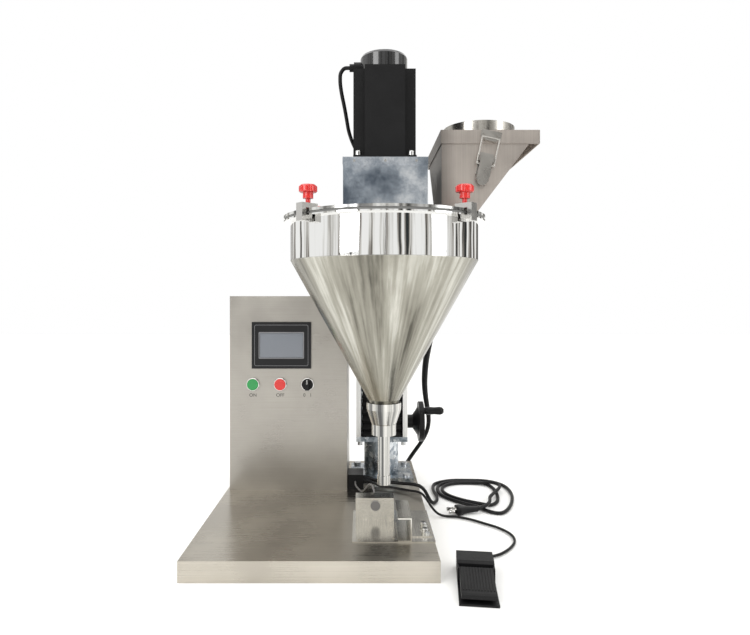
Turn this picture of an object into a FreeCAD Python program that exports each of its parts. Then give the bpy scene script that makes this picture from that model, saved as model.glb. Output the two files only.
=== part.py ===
import FreeCAD, Part
import math
import os
import re
import Sketcher
from FreeCAD import Placement, Rotation, Vector

# Auger powder filler, in millimetres: +Z up, the operator's side faces -Y, and
# the origin is the middle of the base's underside.

# ---------------------------------------------------------------- driving sizes
SIZES = {
    # clearances
    "slip": 0.05,              # radial play of a shaft in its bore
    "gap": 0.3,                # play between pieces that move past each other
    # base: a folded tray closed by a bottom plate
    "base_width": 424,
    "base_depth": 590,
    "base_height": 35,
    "steel": 1.5,
    "floor_steel": 3,
    "cord_hole_across": 198,
    # control cabinet
    "cabinet_left": -206,
    "cabinet_front": 60,
    "cabinet_width": 258,
    "cabinet_depth": 235,
    "cabinet_height": 427,
    "cabinet_steel": 2,
    "cabinet_lip": 12,
    "vent_length": 90,
    "vent_width": 5,
    "vent_pitch": 14,
    "vent_rise": 300,          # height of the lowest vent above the base
    # touch screen unit
    "hmi_middle": -92,
    "hmi_rise": 354,
    "hmi_width": 130,
    "hmi_height": 102,
    "hmi_proud": 5,
    "hmi_frame": 6,            # bezel beyond the cut-out, each side
    "hmi_depth": 30,
    "screen_width": 95,
    "screen_height": 54,
    "screen_recess": 1,
    # push buttons and selector
    "button_first": -155,
    "button_pitch": 60,
    "button_drop": 86,         # from the screen's middle down to the buttons
    "button_collar_radius": 14.5,
    "button_collar_proud": 5,
    "button_cap_radius": 12.5,
    "button_cap_proud": 6.5,
    "button_cap_thick": 3.3,
    "button_thread_radius": 11,
    "button_thread_length": 24,
    "button_stem_radius": 9,
    "button_travel": 3,
    "button_nut_radius": 16,
    "button_nut_thick": 5,
    "selector_grip": 8,
    "selector_proud": 16,
    "contact_side": 28,
    "contact_depth": 38,
    # inside the cabinet
    "inner_plate_front": 150,
    "inner_plate_low": 60,
    "inner_plate_height": 380,
    "drive_unit_width": 75,
    "drive_unit_height": 170,
    "drive_unit_depth": 100,
    "supply_width": 60,
    "supply_height": 125,
    "supply_depth": 95,
    "terminal_width": 150,
    "terminal_height": 45,
    "terminal_depth": 40,
    # hopper and lid, round the auger axis
    "axis_across": 125,
    "axis_back": -167,
    "rim_radius": 181,
    "band_radius": 169,
    "band_low": 525,
    "flange_low": 592,
    "flange_thick": 2.5,
    "cone_low": 269,
    "cone_low_radius": 26,
    "spigot_length": 14,
    "hopper_steel": 1.5,
    "gasket_thick": 4,
    "gasket_width": 12,
    "lid_thick": 4.5,
    # neck, filling tube and outlet
    "neck_radius": 31.5,
    "neck_collar_thick": 12,
    "neck_shoulder": 231,
    "neck_small_radius": 22.8,
    "neck_barrel_radius": 22,
    "neck_low": 210,
    "tube_radius": 11,
    "tube_bore_radius": 10.3,
    "tube_low": 119.5,
    "outlet_radius": 12.2,
    "outlet_height": 17.5,
    # auger, coupling and stirrer
    "auger_shaft_radius": 4.5,
    "auger_radius": 10,
    "auger_pitch": 18,
    "auger_turns": 9,
    "auger_low": 122,
    "flight_thick": 1.6,
    "coupling_radius": 16,
    "coupling_low": 632,
    "coupling_length": 44,
    "motor_shaft_radius": 9.5,
    "bearing_radius": 30,
    "bearing_height": 20,
    "stirrer_hub_radius": 12,
    "stirrer_hub_height": 24,
    "stirrer_rise": 484,
    "stirrer_bar": 12,
    "stirrer_reach": 140,
    "stirrer_tip_reach": 44,
    "stirrer_tip_rise": 313,
    "stirrer_thick": 5,
    # drive box under the motor
    "drive_box_width": 144,
    "drive_box_depth": 150,
    "drive_box_top": 685,
    "drive_box_steel": 2,
    "box_cover_over": 0.75,
    "box_cover_height": 13,
    # motor
    "motor_side": 110,
    "motor_notch": 20,
    "motor_flange_height": 19,
    "motor_ear_thick": 8,
    "motor_length": 123,
    "motor_bell_height": 23,
    "motor_cap_radius": 42.5,
    "motor_cap_height": 34,
    "motor_cap_round": 6,
    "motor_ear_screw": 46,
    # product inlet chute
    "chute_left": 100,
    "chute_front": -40,
    "chute_low_right": 158,
    "chute_low_back": 50,
    "chute_high_right": 270.5,
    "chute_high_back": 173.5,
    "chute_top": 751.2,
    "chute_steel": 1.5,
    "cover_skirt": 24,
    "cover_top": 753,
    "cover_steel": 1.5,
    "cover_over": 1.7,
    "inlet_across": 185.6,
    "inlet_back": 67.5,
    "inlet_radius": 67.5,
    "inlet_steel": 2,
    "inlet_height": 30,
    # lid clamps and their red knobs
    "clamp_angle": 47,         # either side of the front and of the back
    "clamp_width": 16,
    "clamp_inner": 160,
    "clamp_outer": 192,
    "clamp_spine": 8,
    "clamp_jaw": 9,
    "clamp_screw_at": 174,
    "knob_stud_radius": 4,
    "knob_hub_radius": 8.5,
    "knob_hub_low": 620,
    "knob_low": 630,
    "knob_height": 12,
    "knob_radius": 15,
    "knob_lobe_radius": 3.2,
    # toggle latch on the chute
    "latch_across": 186.6,
    "latch_tilt": 12,
    "keeper_width": 36,
    "keeper_height": 12,
    "keeper_thick": 2,
    "keeper_top": 6,           # above the latch's middle line
    "keeper_screw_radius": 3,
    "keeper_screw_spread": 12,
    "hook_low": 14,            # below the latch's middle line
    "hook_thick": 3,
    "hook_reach": 10,
    "latch_pivot_drop": 46,
    "latch_pivot_reach": 7.5,
    "latch_pin_radius": 2,
    "latch_ear_thick": 2,
    "latch_ear_half": 5,
    "latch_plate_top_drop": 34,
    "latch_plate_low_drop": 74,
    "latch_plate_thick": 3,
    "lever_half_thick": 3,
    "lever_tip_drop": 84,
    "bail_pivot_drop": 56,
    "latch_plate_width": 26,
    "bail_wire_radius": 1.6,
    # lift column
    "column_across": 131,
    "column_bolt_across": 51,
    "column_bolt_back": 36,
    "column_front": 140,
    "column_depth": 90,
    "column_width": 120,
    "column_low": 122,
    "column_top": 750,
    "column_plate": 11,
    "rail_thick": 11,
    "column_back_plate": 8,
    "pedestal_radius": 41,
    "pedestal_wall": 4,
    "pedestal_flange_width": 145,
    "pedestal_flange_depth": 130,
    "pedestal_flange": 8,
    "pedestal_bolt_across": 57.5,
    "pedestal_bolt_back": 50,
    "bolt_radius": 5,
    "bolt_head_radius": 8.5,
    "bolt_head": 6.4,
    "column_bolt_radius": 5.5,
    "column_bolt_head": 9,
    "guide_rod_radius": 8,
    "guide_rod_spread": 34,
    "guide_rod_back": 170,
    "lead_screw_radius": 9,
    "lead_screw_back": 190,
    "gearbox_side": 46,
    "carriage_low": 430,
    "carriage_height": 100,
    "nut_flange_radius": 18,
    "nut_flange": 8,
    "nut_length": 40,
    "arm_plate_front": 116,
    "arm_plate_thick": 14,
    "arm_plate_width": 100,
    "arm_beam_width": 80,
    "arm_beam_low": 618,
    "arm_beam_height": 64,
    "arm_wall": 5,
    # handwheel
    "wheel_rise": 160,
    "wheel_hub_radius": 16,
    "wheel_hub_start": 192.3,
    "wheel_rim_radius": 47.5,
    "wheel_rim_start": 220,
    "wheel_rim_width": 12,
    "wheel_shaft_radius": 7,
    "grip_radius": 9.5,
    "grip_offset": 36,
    "grip_turn": 36,
    "grip_length": 44,
    # container rest, side stop and sensor box on the base
    "rest_left": 68,
    "rest_front": -222,
    "rest_width": 145,
    "rest_depth": 153,
    "rest_thick": 1.5,
    "rest_hole_radius": 2.5,
    "sensor_box_left": 73,
    "sensor_box_width": 73,
    "sensor_box_front": -117,
    "sensor_box_depth": 32,
    "sensor_box_height": 40.5,
    "sensor_steel": 1.5,
    "sensor_radius": 6,
    "sensor_across": 110.5,
    "sensor_rise": 62.6,
    "sensor_length": 34,
    "stop_left": 147.5,
    "stop_width": 24,
    "stop_depth": 94,
    "stop_foot": 38,
    "stop_steel": 2,
    "stop_foot_front": 20,     # behind the stop's front face
    "stop_foot_depth": 52,
    "foot_screw_radius": 4,
    "foot_screw_head": 2.5,
    # cable entry box between cabinet and pedestal
    "entry_left": 52.3,
    "entry_width": 36,
    "entry_front": 66,
    "entry_depth": 52,
    "entry_height": 32,
    # foot pedal
    "pedal_across": 260,
    "pedal_front": -370,
    "pedal_turn": 6.8,
    "pedal_width": 60,
    "pedal_length": 133,
    "pedal_back_height": 30,
    "pedal_base_thick": 3,
    "pedal_ear_thick": 3,
    "pedal_ear_back": 7,       # behind the pin, where the housing starts
    "tread_front": 3,
    "tread_front_low": 9.2,
    "tread_front_high": 17.5,
    "tread_rib_rise": 1.2,
    "pedal_rib_pitch": 4.6,
    "pedal_rib_width": 2.4,
    "pedal_pin_radius": 2.5,
    "pedal_pin_back": 77,
    "pedal_pin_rise": 19,
    # cords
    "power_cord": 7.5,
    "pedal_cord": 5,
    "motor_cable": 7,
    "harness": 12,
    "sensor_wire": 3.5,
    "coil_height": 18,
    "coil_width": 26,
}

# -------------------------------------------------- sizes worked out from those
WORKED_OUT = {
    "base_top": "base_height",
    "button_rise": "hmi_rise - button_drop",
    "cabinet_right": "cabinet_left + cabinet_width",
    "cabinet_back": "cabinet_front + cabinet_depth",
    "cabinet_top": "base_top + cabinet_height",
    "shell_back": "cabinet_back - cabinet_steel",
    "flange_top": "flange_low + flange_thick",
    "lid_low": "flange_top + gasket_thick",
    "lid_top": "lid_low + lid_thick",
    "neck_collar_low": "cone_low - neck_collar_thick",
    "outlet_top": "tube_low + outlet_height",
    "box_cover_top": "drive_box_top + box_cover_height",
    "motor_flange_top": "box_cover_top + motor_flange_height",
    "motor_body_top": "motor_flange_top + motor_length",
    "motor_bell_top": "motor_body_top + motor_bell_height",
    "motor_top": "motor_bell_top + motor_cap_height",
    "cover_low": "cover_top - cover_skirt",
    "column_left": "column_across - column_width / 2",
    "column_right": "column_across + column_width / 2",
    "column_back": "column_front + column_depth",
    "frame_low": "column_low + column_plate",
    "carriage_top": "carriage_low + carriage_height",
    "clamp_low": "flange_low - clamp_jaw",
    "clamp_top": "lid_top + clamp_jaw",
    "rest_top": "base_top + rest_thick",
    "wheel_rim_end": "wheel_rim_start + wheel_rim_width",
}

doc = FreeCAD.newDocument("auger_powder_filler")
sheet = doc.addObject("Spreadsheet::Sheet", "sizes")
for row, (alias, number) in enumerate(SIZES.items(), start=1):
    sheet.set(f"A{row}", str(number))
    sheet.setAlias(f"A{row}", alias)
for row, (alias, text) in enumerate(WORKED_OUT.items(), start=1):
    sheet.set(f"C{row}", "=" + text)
    sheet.setAlias(f"C{row}", alias)
doc.recompute()

NAMES = set(SIZES) | set(WORKED_OUT)
NODES = []


# ------------------------------------------------------------ helper functions
def formula(text):
    """The text with each size's name made a reference to the sheet."""
    return re.sub(r"[a-z][a-z_]+", lambda word: "sizes." + word[0] if word[0] in NAMES else word[0],
                  str(text))


def size(alias):
    """The number that the sheet holds for one size."""
    return float(sheet.get(alias))


def bind(thing, **settings):
    for name, text in settings.items():
        thing.setExpression(name, formula(text))
    return thing


def place(thing, x=0, y=0, z=0, axis=(0, 0, 1), turn=0):
    """Put an object at a worked-out point, turned about an axis of its own."""
    thing.Placement = Placement(Vector(), Rotation(Vector(*axis), turn))
    thing.setExpression("Placement.Base.x", formula(x))
    thing.setExpression("Placement.Base.y", formula(y))
    thing.setExpression("Placement.Base.z", formula(z))
    return thing


def box(x, y, z):
    """A block between two worked-out limits along each axis."""
    block = doc.addObject("Part::Box", "block")
    bind(block, Length=f"({x[1]}) - ({x[0]})", Width=f"({y[1]}) - ({y[0]})",
         Height=f"({z[1]}) - ({z[0]})")
    return place(block, x[0], y[0], z[0])


LYING = {"X": ((0, 1, 0), 90), "Y": ((1, 0, 0), -90), "Z": ((0, 0, 1), 0)}


def rod(along, x, y, z, radius, length):
    """A round bar from a point along one axis."""
    bar = doc.addObject("Part::Cylinder", "bar")
    bind(bar, Radius=radius, Height=length)
    axis, turn = LYING[along]
    return place(bar, x, y, z, axis, turn)


def cut(base, *tools):
    result = doc.addObject("Part::Cut", "cut")
    result.Base = base
    result.Tool = tools[0] if len(tools) == 1 else together(*tools)
    return result


def fuse(*parts):
    result = doc.addObject("Part::MultiFuse", "fusion")
    result.Shapes = list(parts)
    result.Refine = True
    return result


def together(*parts):
    """Separate solids held in one object."""
    result = doc.addObject("Part::Compound", "set")
    result.Links = list(parts)
    return result


def outline(body, plane, corners):
    """A closed sketch on one of the body's own planes, each corner placed by two sizes."""
    sketch = body.newObject("Sketcher::SketchObject", "outline")
    origin_plane = [f for f in body.Origin.OriginFeatures if f.Role == plane + "_Plane"][0]
    sketch.AttachmentSupport = [(origin_plane, "")]
    sketch.MapMode = "FlatFace"
    numbers = [(number_of(across), number_of(up)) for across, up in corners]
    count = len(corners)
    for i, (across, up) in enumerate(numbers):
        after = numbers[(i + 1) % count]
        sketch.addGeometry(Part.LineSegment(Vector(across, up, 0), Vector(*after, 0)), False)
    for i in range(count):
        sketch.addConstraint(Sketcher.Constraint("Coincident", i, 2, (i + 1) % count, 1))
    for i, corner in enumerate(corners):
        for kind, text, number in zip(("DistanceX", "DistanceY"), corner, numbers[i]):
            which = sketch.addConstraint(Sketcher.Constraint(kind, -1, 1, i, 1, number))
            if text != 0:
                sketch.setExpression(f"Constraints[{which}]", formula(text))
    return sketch


def number_of(text):
    """A formula's present value, for a sketch's first drawing."""
    total = doc.getObject("worked") or doc.addObject("App::FeaturePython", "worked")
    if not hasattr(total, "number"):
        total.addProperty("App::PropertyFloat", "number")
    total.setExpression("number", formula(text))
    total.recompute()
    return total.number


def revolved(corners, x=0, y=0, z=0, lying="Z"):
    """A turned piece: a half section of (radius, height) corners about its axis."""
    body = doc.addObject("PartDesign::Body", "turned")
    turning = body.newObject("PartDesign::Revolution", "turning")
    turning.Profile = outline(body, "XZ", corners)
    turning.ReferenceAxis = (turning.Profile[0], ["V_Axis"])
    turning.Angle = 360
    body.Tip = turning
    axis, turn = LYING[lying]
    return place(body, x, y, z, axis, turn)


def padded(plane, corners, length, x=0, y=0, z=0, middle=False):
    """A plate or bar: a flat outline given a thickness."""
    body = doc.addObject("PartDesign::Body", "plate")
    pad = body.newObject("PartDesign::Pad", "thickness")
    pad.Profile = outline(body, plane, corners)
    pad.SideType = "Symmetric" if middle else "One side"
    bind(pad, Length=length)
    body.Tip = pad
    return place(body, x, y, z)


def node(name, thing):
    """Name a finished sub-part."""
    thing.Label = name
    NODES.append(thing)
    return thing


# ------------------------------------------------------------------------ base
HALF_W = "base_width / 2"
HALF_D = "base_depth / 2"
tray_outer = box(("-base_width / 2", HALF_W), ("-base_depth / 2", HALF_D), (0, "base_top"))
tray_inner = box(("-base_width / 2 + steel", f"{HALF_W} - steel"),
                 ("-base_depth / 2 + steel", f"{HALF_D} - steel"), (-1, "base_top - steel"))
pedestal_spots = [("column_across" + a + "pedestal_bolt_across", "column_front + column_depth / 2" + b
                   + "pedestal_bolt_back") for a in "-+" for b in "-+"]
bolt_holes = [rod("Z", a, b, "base_top - 5", "bolt_radius + slip", 10) for a, b in pedestal_spots]
cord_hole = rod("Y", "cord_hole_across", f"{HALF_D} - 6", "base_height / 2", "harness / 2 + 2", 10)
node("base_tray", cut(tray_outer, tray_inner, *bolt_holes, cord_hole))
node("base_bottom_plate", box(("-base_width / 2 + steel", f"{HALF_W} - steel"),
                              ("-base_depth / 2 + steel", f"{HALF_D} - steel"), (0, "floor_steel")))

# --------------------------------------------------------------------- cabinet
CX = ("cabinet_left", "cabinet_right")
shell_outer = box(CX, ("cabinet_front", "shell_back"), ("base_top", "cabinet_top"))
IN_X = ("cabinet_left + cabinet_steel", "cabinet_right - cabinet_steel")
IN_Z = ("base_top + cabinet_steel", "cabinet_top - cabinet_steel")
shell_inner = box(IN_X, ("cabinet_front + cabinet_steel", "shell_back - cabinet_steel"), IN_Z)
shell_mouth = box(("cabinet_left + cabinet_lip", "cabinet_right - cabinet_lip"),
                  ("shell_back - cabinet_steel - 1", "shell_back + 1"),
                  ("base_top + cabinet_lip", "cabinet_top - cabinet_lip"))
HMI_X = ("hmi_middle - hmi_width / 2", "hmi_middle + hmi_width / 2")
HMI_Z = ("hmi_rise - hmi_height / 2", "hmi_rise + hmi_height / 2")
HMI_IN_X = (HMI_X[0] + " + hmi_frame", HMI_X[1] + " - hmi_frame")
HMI_IN_Z = (HMI_Z[0] + " + hmi_frame", HMI_Z[1] + " - hmi_frame")
hmi_hole = box((HMI_IN_X[0] + " - gap", HMI_IN_X[1] + " + gap"),
               ("cabinet_front - 1", "cabinet_front + cabinet_steel + 1"),
               (HMI_IN_Z[0] + " - gap", HMI_IN_Z[1] + " + gap"))
BUTTONS = [f"button_first + {n} * button_pitch" for n in range(3)]
button_holes = [rod("Y", x, "cabinet_front - 1", "button_rise", "button_thread_radius + slip",
                    "cabinet_steel + 2") for x in BUTTONS]
node("cabinet_shell", cut(shell_outer, shell_inner, shell_mouth, hmi_hole, *button_holes))

rear_cover = box(CX, ("shell_back", "cabinet_back"), ("base_top", "cabinet_top"))
VENT_X = ("(cabinet_left + cabinet_right) / 2 - vent_length / 2",
          "(cabinet_left + cabinet_right) / 2 + vent_length / 2")
vents = [box(VENT_X, ("shell_back - 1", "cabinet_back + 1"),
             (f"base_top + vent_rise + {n} * vent_pitch",
              f"base_top + vent_rise + {n} * vent_pitch + vent_width")) for n in range(6)]
node("cabinet_rear_cover", cut(rear_cover, *vents))
cover_spots = [(x, z) for x in ("cabinet_left + cabinet_lip / 2", "cabinet_right - cabinet_lip / 2")
               for z in ("base_top + 20", "(base_top + cabinet_top) / 2", "cabinet_top - 20")]
cover_screws = [rod("Y", x, "cabinet_back", z, 4, 2.4) for x, z in cover_spots]

hmi_front = box(HMI_X, ("cabinet_front - hmi_proud", "cabinet_front"), HMI_Z)
hmi_back = box(HMI_IN_X, ("cabinet_front", "cabinet_front + hmi_depth"), HMI_IN_Z)
SCREEN_X = ("hmi_middle - screen_width / 2", "hmi_middle + screen_width / 2")
SCREEN_Z = ("hmi_rise - screen_height / 2", "hmi_rise + screen_height / 2")
SCREEN_Y = "cabinet_front - hmi_proud + screen_recess"
screen_pocket = box(SCREEN_X, ("cabinet_front - hmi_proud - 1", SCREEN_Y + " + 1.5"), SCREEN_Z)
node("touch_screen_housing", cut(fuse(hmi_front, hmi_back), screen_pocket))
node("touch_screen_glass", box(SCREEN_X, (SCREEN_Y, SCREEN_Y + " + 1.5"), SCREEN_Z))

# push buttons: turned about Y, so a corner's height runs into the cabinet
COLLAR = [("button_stem_radius + slip", -0.01), ("button_cap_radius + slip", -0.01),
          ("button_cap_radius + slip", "-button_collar_proud"),
          ("button_collar_radius - 0.8", "-button_collar_proud"),
          ("button_collar_radius", "-button_collar_proud + 0.8"), ("button_collar_radius", 0),
          ("button_thread_radius", 0), ("button_thread_radius", "button_thread_length"),
          ("button_stem_radius + slip", "button_thread_length")]
collars = [revolved(COLLAR, x, "cabinet_front", "button_rise", "Y") for x in BUTTONS]
nuts = [cut(rod("Y", x, "cabinet_front + cabinet_steel", "button_rise", "button_nut_radius",
                "button_nut_thick"),
            rod("Y", x, "cabinet_front + cabinet_steel - 1", "button_rise",
                "button_thread_radius", "button_nut_thick + 2")) for x in BUTTONS]
CAP_BACK = "-button_cap_proud + button_cap_thick"
CAP = [(0, "-button_cap_proud"), ("button_cap_radius - 1", "-button_cap_proud"),
       ("button_cap_radius", "-button_cap_proud + 1"), ("button_cap_radius", CAP_BACK),
       ("button_stem_radius", CAP_BACK), ("button_stem_radius", "button_thread_length - 1"),
       (0, "button_thread_length - 1")]
for name, x in zip(("start_button", "stop_button"), BUTTONS):
    node(name, revolved(CAP, x, "cabinet_front", "button_rise", "Y"))
selector_body = revolved(CAP, BUTTONS[2], "cabinet_front", "button_rise", "Y")
selector_bar = box((f"{BUTTONS[2]} - selector_grip / 2", f"{BUTTONS[2]} + selector_grip / 2"),
                   ("cabinet_front - selector_proud", "cabinet_front - button_cap_proud + 1"),
                   ("button_rise - button_cap_radius + 1", "button_rise + button_cap_radius - 1"))
node("selector_knob", fuse(selector_body, selector_bar))
contacts = []
for x in BUTTONS:
    block = box((f"{x} - contact_side / 2", f"{x} + contact_side / 2"),
                ("cabinet_front + button_thread_length",
                 "cabinet_front + button_thread_length + contact_depth"),
                ("button_rise - contact_side / 2", "button_rise + contact_side / 2"))
    contacts.append(cut(block, rod("Y", x, "cabinet_front + button_thread_length - 1", "button_rise",
                                   "button_stem_radius + gap", "button_travel + 2")))
node("button_collars_and_contacts", together(*collars, *nuts, *contacts))

# inside: a mounting plate with the drive, the supply and the terminals behind it
PLATE_BACK = "inner_plate_front + cabinet_steel"
inner_plate = box(IN_X, ("inner_plate_front", PLATE_BACK),
                  ("inner_plate_low", "inner_plate_low + inner_plate_height"))


def unit(left, width, depth, low, height):
    """An electrical unit on the back of the mounting plate."""
    return box((left, f"{left} + {width}"), (PLATE_BACK, f"{PLATE_BACK} + {depth}"),
               (low, f"{low} + {height}"))


node("cabinet_inner_panel", together(
    inner_plate,
    unit("cabinet_left + 25", "drive_unit_width", "drive_unit_depth",
         "inner_plate_low + 120", "drive_unit_height"),
    unit("cabinet_left + 140", "supply_width", "supply_depth",
         "inner_plate_low + 150", "supply_height"),
    unit("cabinet_left + 50", "terminal_width", "terminal_depth",
         "inner_plate_low + 30", "terminal_height")))

# ------------------------------------------------------------- hopper and neck
AX = "axis_across"
AY = "axis_back"
SPIGOT_LOW = "cone_low - spigot_length"
BAND_BORE = "band_radius - hopper_steel"
SPIGOT_BORE = "cone_low_radius - hopper_steel"
node("hopper_band", revolved([
    ("rim_radius", "flange_low"), ("rim_radius", "flange_top"), (BAND_BORE, "flange_top"),
    (BAND_BORE, "band_low"), ("band_radius", "band_low"), ("band_radius", "flange_low")], AX, AY))
node("hopper_cone", revolved([
    ("band_radius", "band_low"), (BAND_BORE, "band_low"), (SPIGOT_BORE, "cone_low"),
    (SPIGOT_BORE, SPIGOT_LOW), ("cone_low_radius", SPIGOT_LOW),
    ("cone_low_radius", "cone_low")], AX, AY))
node("lid_gasket", revolved([
    ("rim_radius - 2 - gasket_width", "flange_top"), ("rim_radius - 2", "flange_top"),
    ("rim_radius - 2", "lid_low"), ("rim_radius - 2 - gasket_width", "lid_low")], AX, AY))
CHUTE_LOW_X = (f"{AX} + chute_left", f"{AX} + chute_low_right")
CHUTE_LOW_Y = (f"{AY} + chute_front", f"{AY} + chute_low_back")
lid_disc = rod("Z", AX, AY, "lid_low", "rim_radius", "lid_thick")
lid_bore = rod("Z", AX, AY, "lid_low - 1", "coupling_radius + 2", "lid_thick + 2")
lid_inlet = box((CHUTE_LOW_X[0] + " + chute_steel", CHUTE_LOW_X[1] + " - chute_steel"),
                (CHUTE_LOW_Y[0] + " + chute_steel", CHUTE_LOW_Y[1] + " - chute_steel"),
                ("lid_low - 1", "lid_top + 1"))
lid_plate = cut(lid_disc, lid_bore, lid_inlet)
bearing_housing = revolved([
    ("auger_shaft_radius + slip", "lid_top"), ("bearing_radius", "lid_top"),
    ("bearing_radius", "lid_top + 6"), ("bearing_radius - 8", "lid_top + bearing_height"),
    ("auger_shaft_radius + slip", "lid_top + bearing_height")], AX, AY)
node("hopper_lid", together(lid_plate, bearing_housing))

collar_corners = [
    ("cone_low_radius", "cone_low"),
    ("neck_radius", "cone_low"), ("neck_radius", "neck_collar_low"),
    ("neck_small_radius", "neck_shoulder"), ("neck_barrel_radius", "neck_shoulder - 1.5"),
    ("neck_barrel_radius", "neck_low"), ("tube_radius", "neck_low"),
    ("tube_radius", SPIGOT_LOW), ("cone_low_radius", SPIGOT_LOW)]
node("neck_collar", revolved(collar_corners, AX, AY))
node("filling_tube", revolved([
    ("tube_bore_radius", "tube_low"), ("outlet_radius - 0.6", "tube_low"),
    ("outlet_radius", "tube_low + 0.6"), ("outlet_radius", "outlet_top - 0.6"),
    ("outlet_radius - 0.6", "outlet_top"), ("tube_radius", "outlet_top"),
    ("tube_radius", SPIGOT_LOW), ("tube_bore_radius", SPIGOT_LOW)], AX, AY))

# ----------------------------------------------- auger, coupling and stirrer
COUPLING_MIDDLE = "coupling_low + coupling_length / 2"
flight_steps = 12                      # flat facets in one turn of the flight


def flight():
    """The auger's helical flight, as facets from inside the shaft to the tube's bore."""
    inner = size("auger_shaft_radius") - 1
    outer = size("auger_radius")
    rise = size("auger_pitch") / flight_steps
    half = size("flight_thick") / 2
    low = size("auger_low") + half
    count = int(size("auger_turns") * flight_steps)

    def corner(step, radius, side):
        angle = 2 * math.pi * step / flight_steps
        return Vector(radius * math.cos(angle), radius * math.sin(angle), low + rise * step + side)

    faces = []

    def quad(a, b, c, d):
        for three in ((a, b, c), (a, c, d)):
            faces.append(Part.Face(Part.makePolygon([*three, three[0]])))

    for step in range(count):
        a, b = step, step + 1
        quad(corner(a, inner, half), corner(a, outer, half), corner(b, outer, half),
             corner(b, inner, half))
        quad(corner(a, inner, -half), corner(b, inner, -half), corner(b, outer, -half),
             corner(a, outer, -half))
        quad(corner(a, outer, -half), corner(b, outer, -half), corner(b, outer, half),
             corner(a, outer, half))
        quad(corner(a, inner, half), corner(b, inner, half), corner(b, inner, -half),
             corner(a, inner, -half))
    for end, turned in ((0, 1), (count, -1)):
        four = [corner(end, inner, -half), corner(end, outer, -half), corner(end, outer, half),
                corner(end, inner, half)]
        quad(*four[::turned])
    return Part.makeSolid(Part.makeShell(faces))


auger_flight = doc.addObject("Part::Feature", "auger_flight")
auger_flight.Shape = flight()
place(auger_flight, AX, AY)
auger_shaft = rod("Z", AX, AY, "auger_low", "auger_shaft_radius",
                  f"{COUPLING_MIDDLE} - auger_low")
node("auger_screw", fuse(auger_shaft, auger_flight))
coupling = revolved([
    ("auger_shaft_radius", "coupling_low"), ("coupling_radius", "coupling_low"),
    ("coupling_radius", "coupling_low + coupling_length"),
    ("motor_shaft_radius", "coupling_low + coupling_length"),
    ("motor_shaft_radius", COUPLING_MIDDLE), ("auger_shaft_radius", COUPLING_MIDDLE)], AX, AY)
motor_shaft = rod("Z", AX, AY, COUPLING_MIDDLE, "motor_shaft_radius",
                  f"motor_flange_top - 2 - ({COUPLING_MIDDLE})")
node("motor_shaft_and_coupling", together(coupling, motor_shaft))
STIR_HIGH = "stirrer_rise + stirrer_bar"
stirrer_hub = rod("Z", AX, AY, "stirrer_rise - 6", "stirrer_hub_radius", "stirrer_hub_height")
stirrer_bore = rod("Z", AX, AY, "stirrer_rise - 7", "auger_shaft_radius", "stirrer_hub_height + 2")


def stirrer_arm(side):
    """One flat arm: out from the hub, then down along the cone."""
    def at(across, up):
        return (f"{side} * ({across})", up)
    return padded("XZ", [at("stirrer_hub_radius - 3", "stirrer_rise"),
                         at("stirrer_hub_radius - 3", STIR_HIGH), at("stirrer_reach", STIR_HIGH),
                         at("stirrer_reach", "stirrer_rise"),
                         at("stirrer_tip_reach", "stirrer_tip_rise"),
                         at("stirrer_tip_reach - stirrer_bar", "stirrer_tip_rise"),
                         at("stirrer_reach - stirrer_bar", "stirrer_rise")],
                  "stirrer_thick", AX, AY, middle=True)


node("stirrer", cut(fuse(stirrer_hub, stirrer_arm(1), stirrer_arm(-1)), stirrer_bore))

# ------------------------------------------------------- drive box and motor
BOX_X = (f"{AX} - drive_box_width / 2", f"{AX} + drive_box_width / 2")
BOX_Y = (f"{AY} - drive_box_depth / 2", f"{AY} + drive_box_depth / 2")


def grown(limits, by):
    return (f"{limits[0]} - ({by})", f"{limits[1]} + ({by})")


node("drive_box", cut(box(BOX_X, BOX_Y, ("lid_top", "drive_box_top")),
                      box(grown(BOX_X, "-drive_box_steel"), grown(BOX_Y, "-drive_box_steel"),
                          ("lid_top - 1", "drive_box_top + 1"))))
node("drive_box_cover", cut(
    box(grown(BOX_X, "box_cover_over"), grown(BOX_Y, "box_cover_over"),
        ("drive_box_top", "box_cover_top")),
    box(grown(BOX_X, "-2 * drive_box_steel"), grown(BOX_Y, "-2 * drive_box_steel"),
        ("drive_box_top - 1", "box_cover_top - 3")),
    rod("Z", AX, AY, "drive_box_top", "motor_shaft_radius + 8", "box_cover_height + 2")))


def motor_slice(low, high):
    """A length of the motor's square section with its four notched corners."""
    half, notched = "motor_side / 2", "(motor_side / 2 - motor_notch)"
    corners = []
    for across, along in ((1, 1), (-1, 1), (-1, -1), (1, -1)):
        corner = [(f"{across} * {half}", f"{along} * {notched}"),
                  (f"{across} * {notched}", f"{along} * {notched}"),
                  (f"{across} * {notched}", f"{along} * {half}")]
        corners += corner if across * along > 0 else corner[::-1]
    return padded("XY", corners, f"({high}) - ({low})", AX, AY, low)


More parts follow.
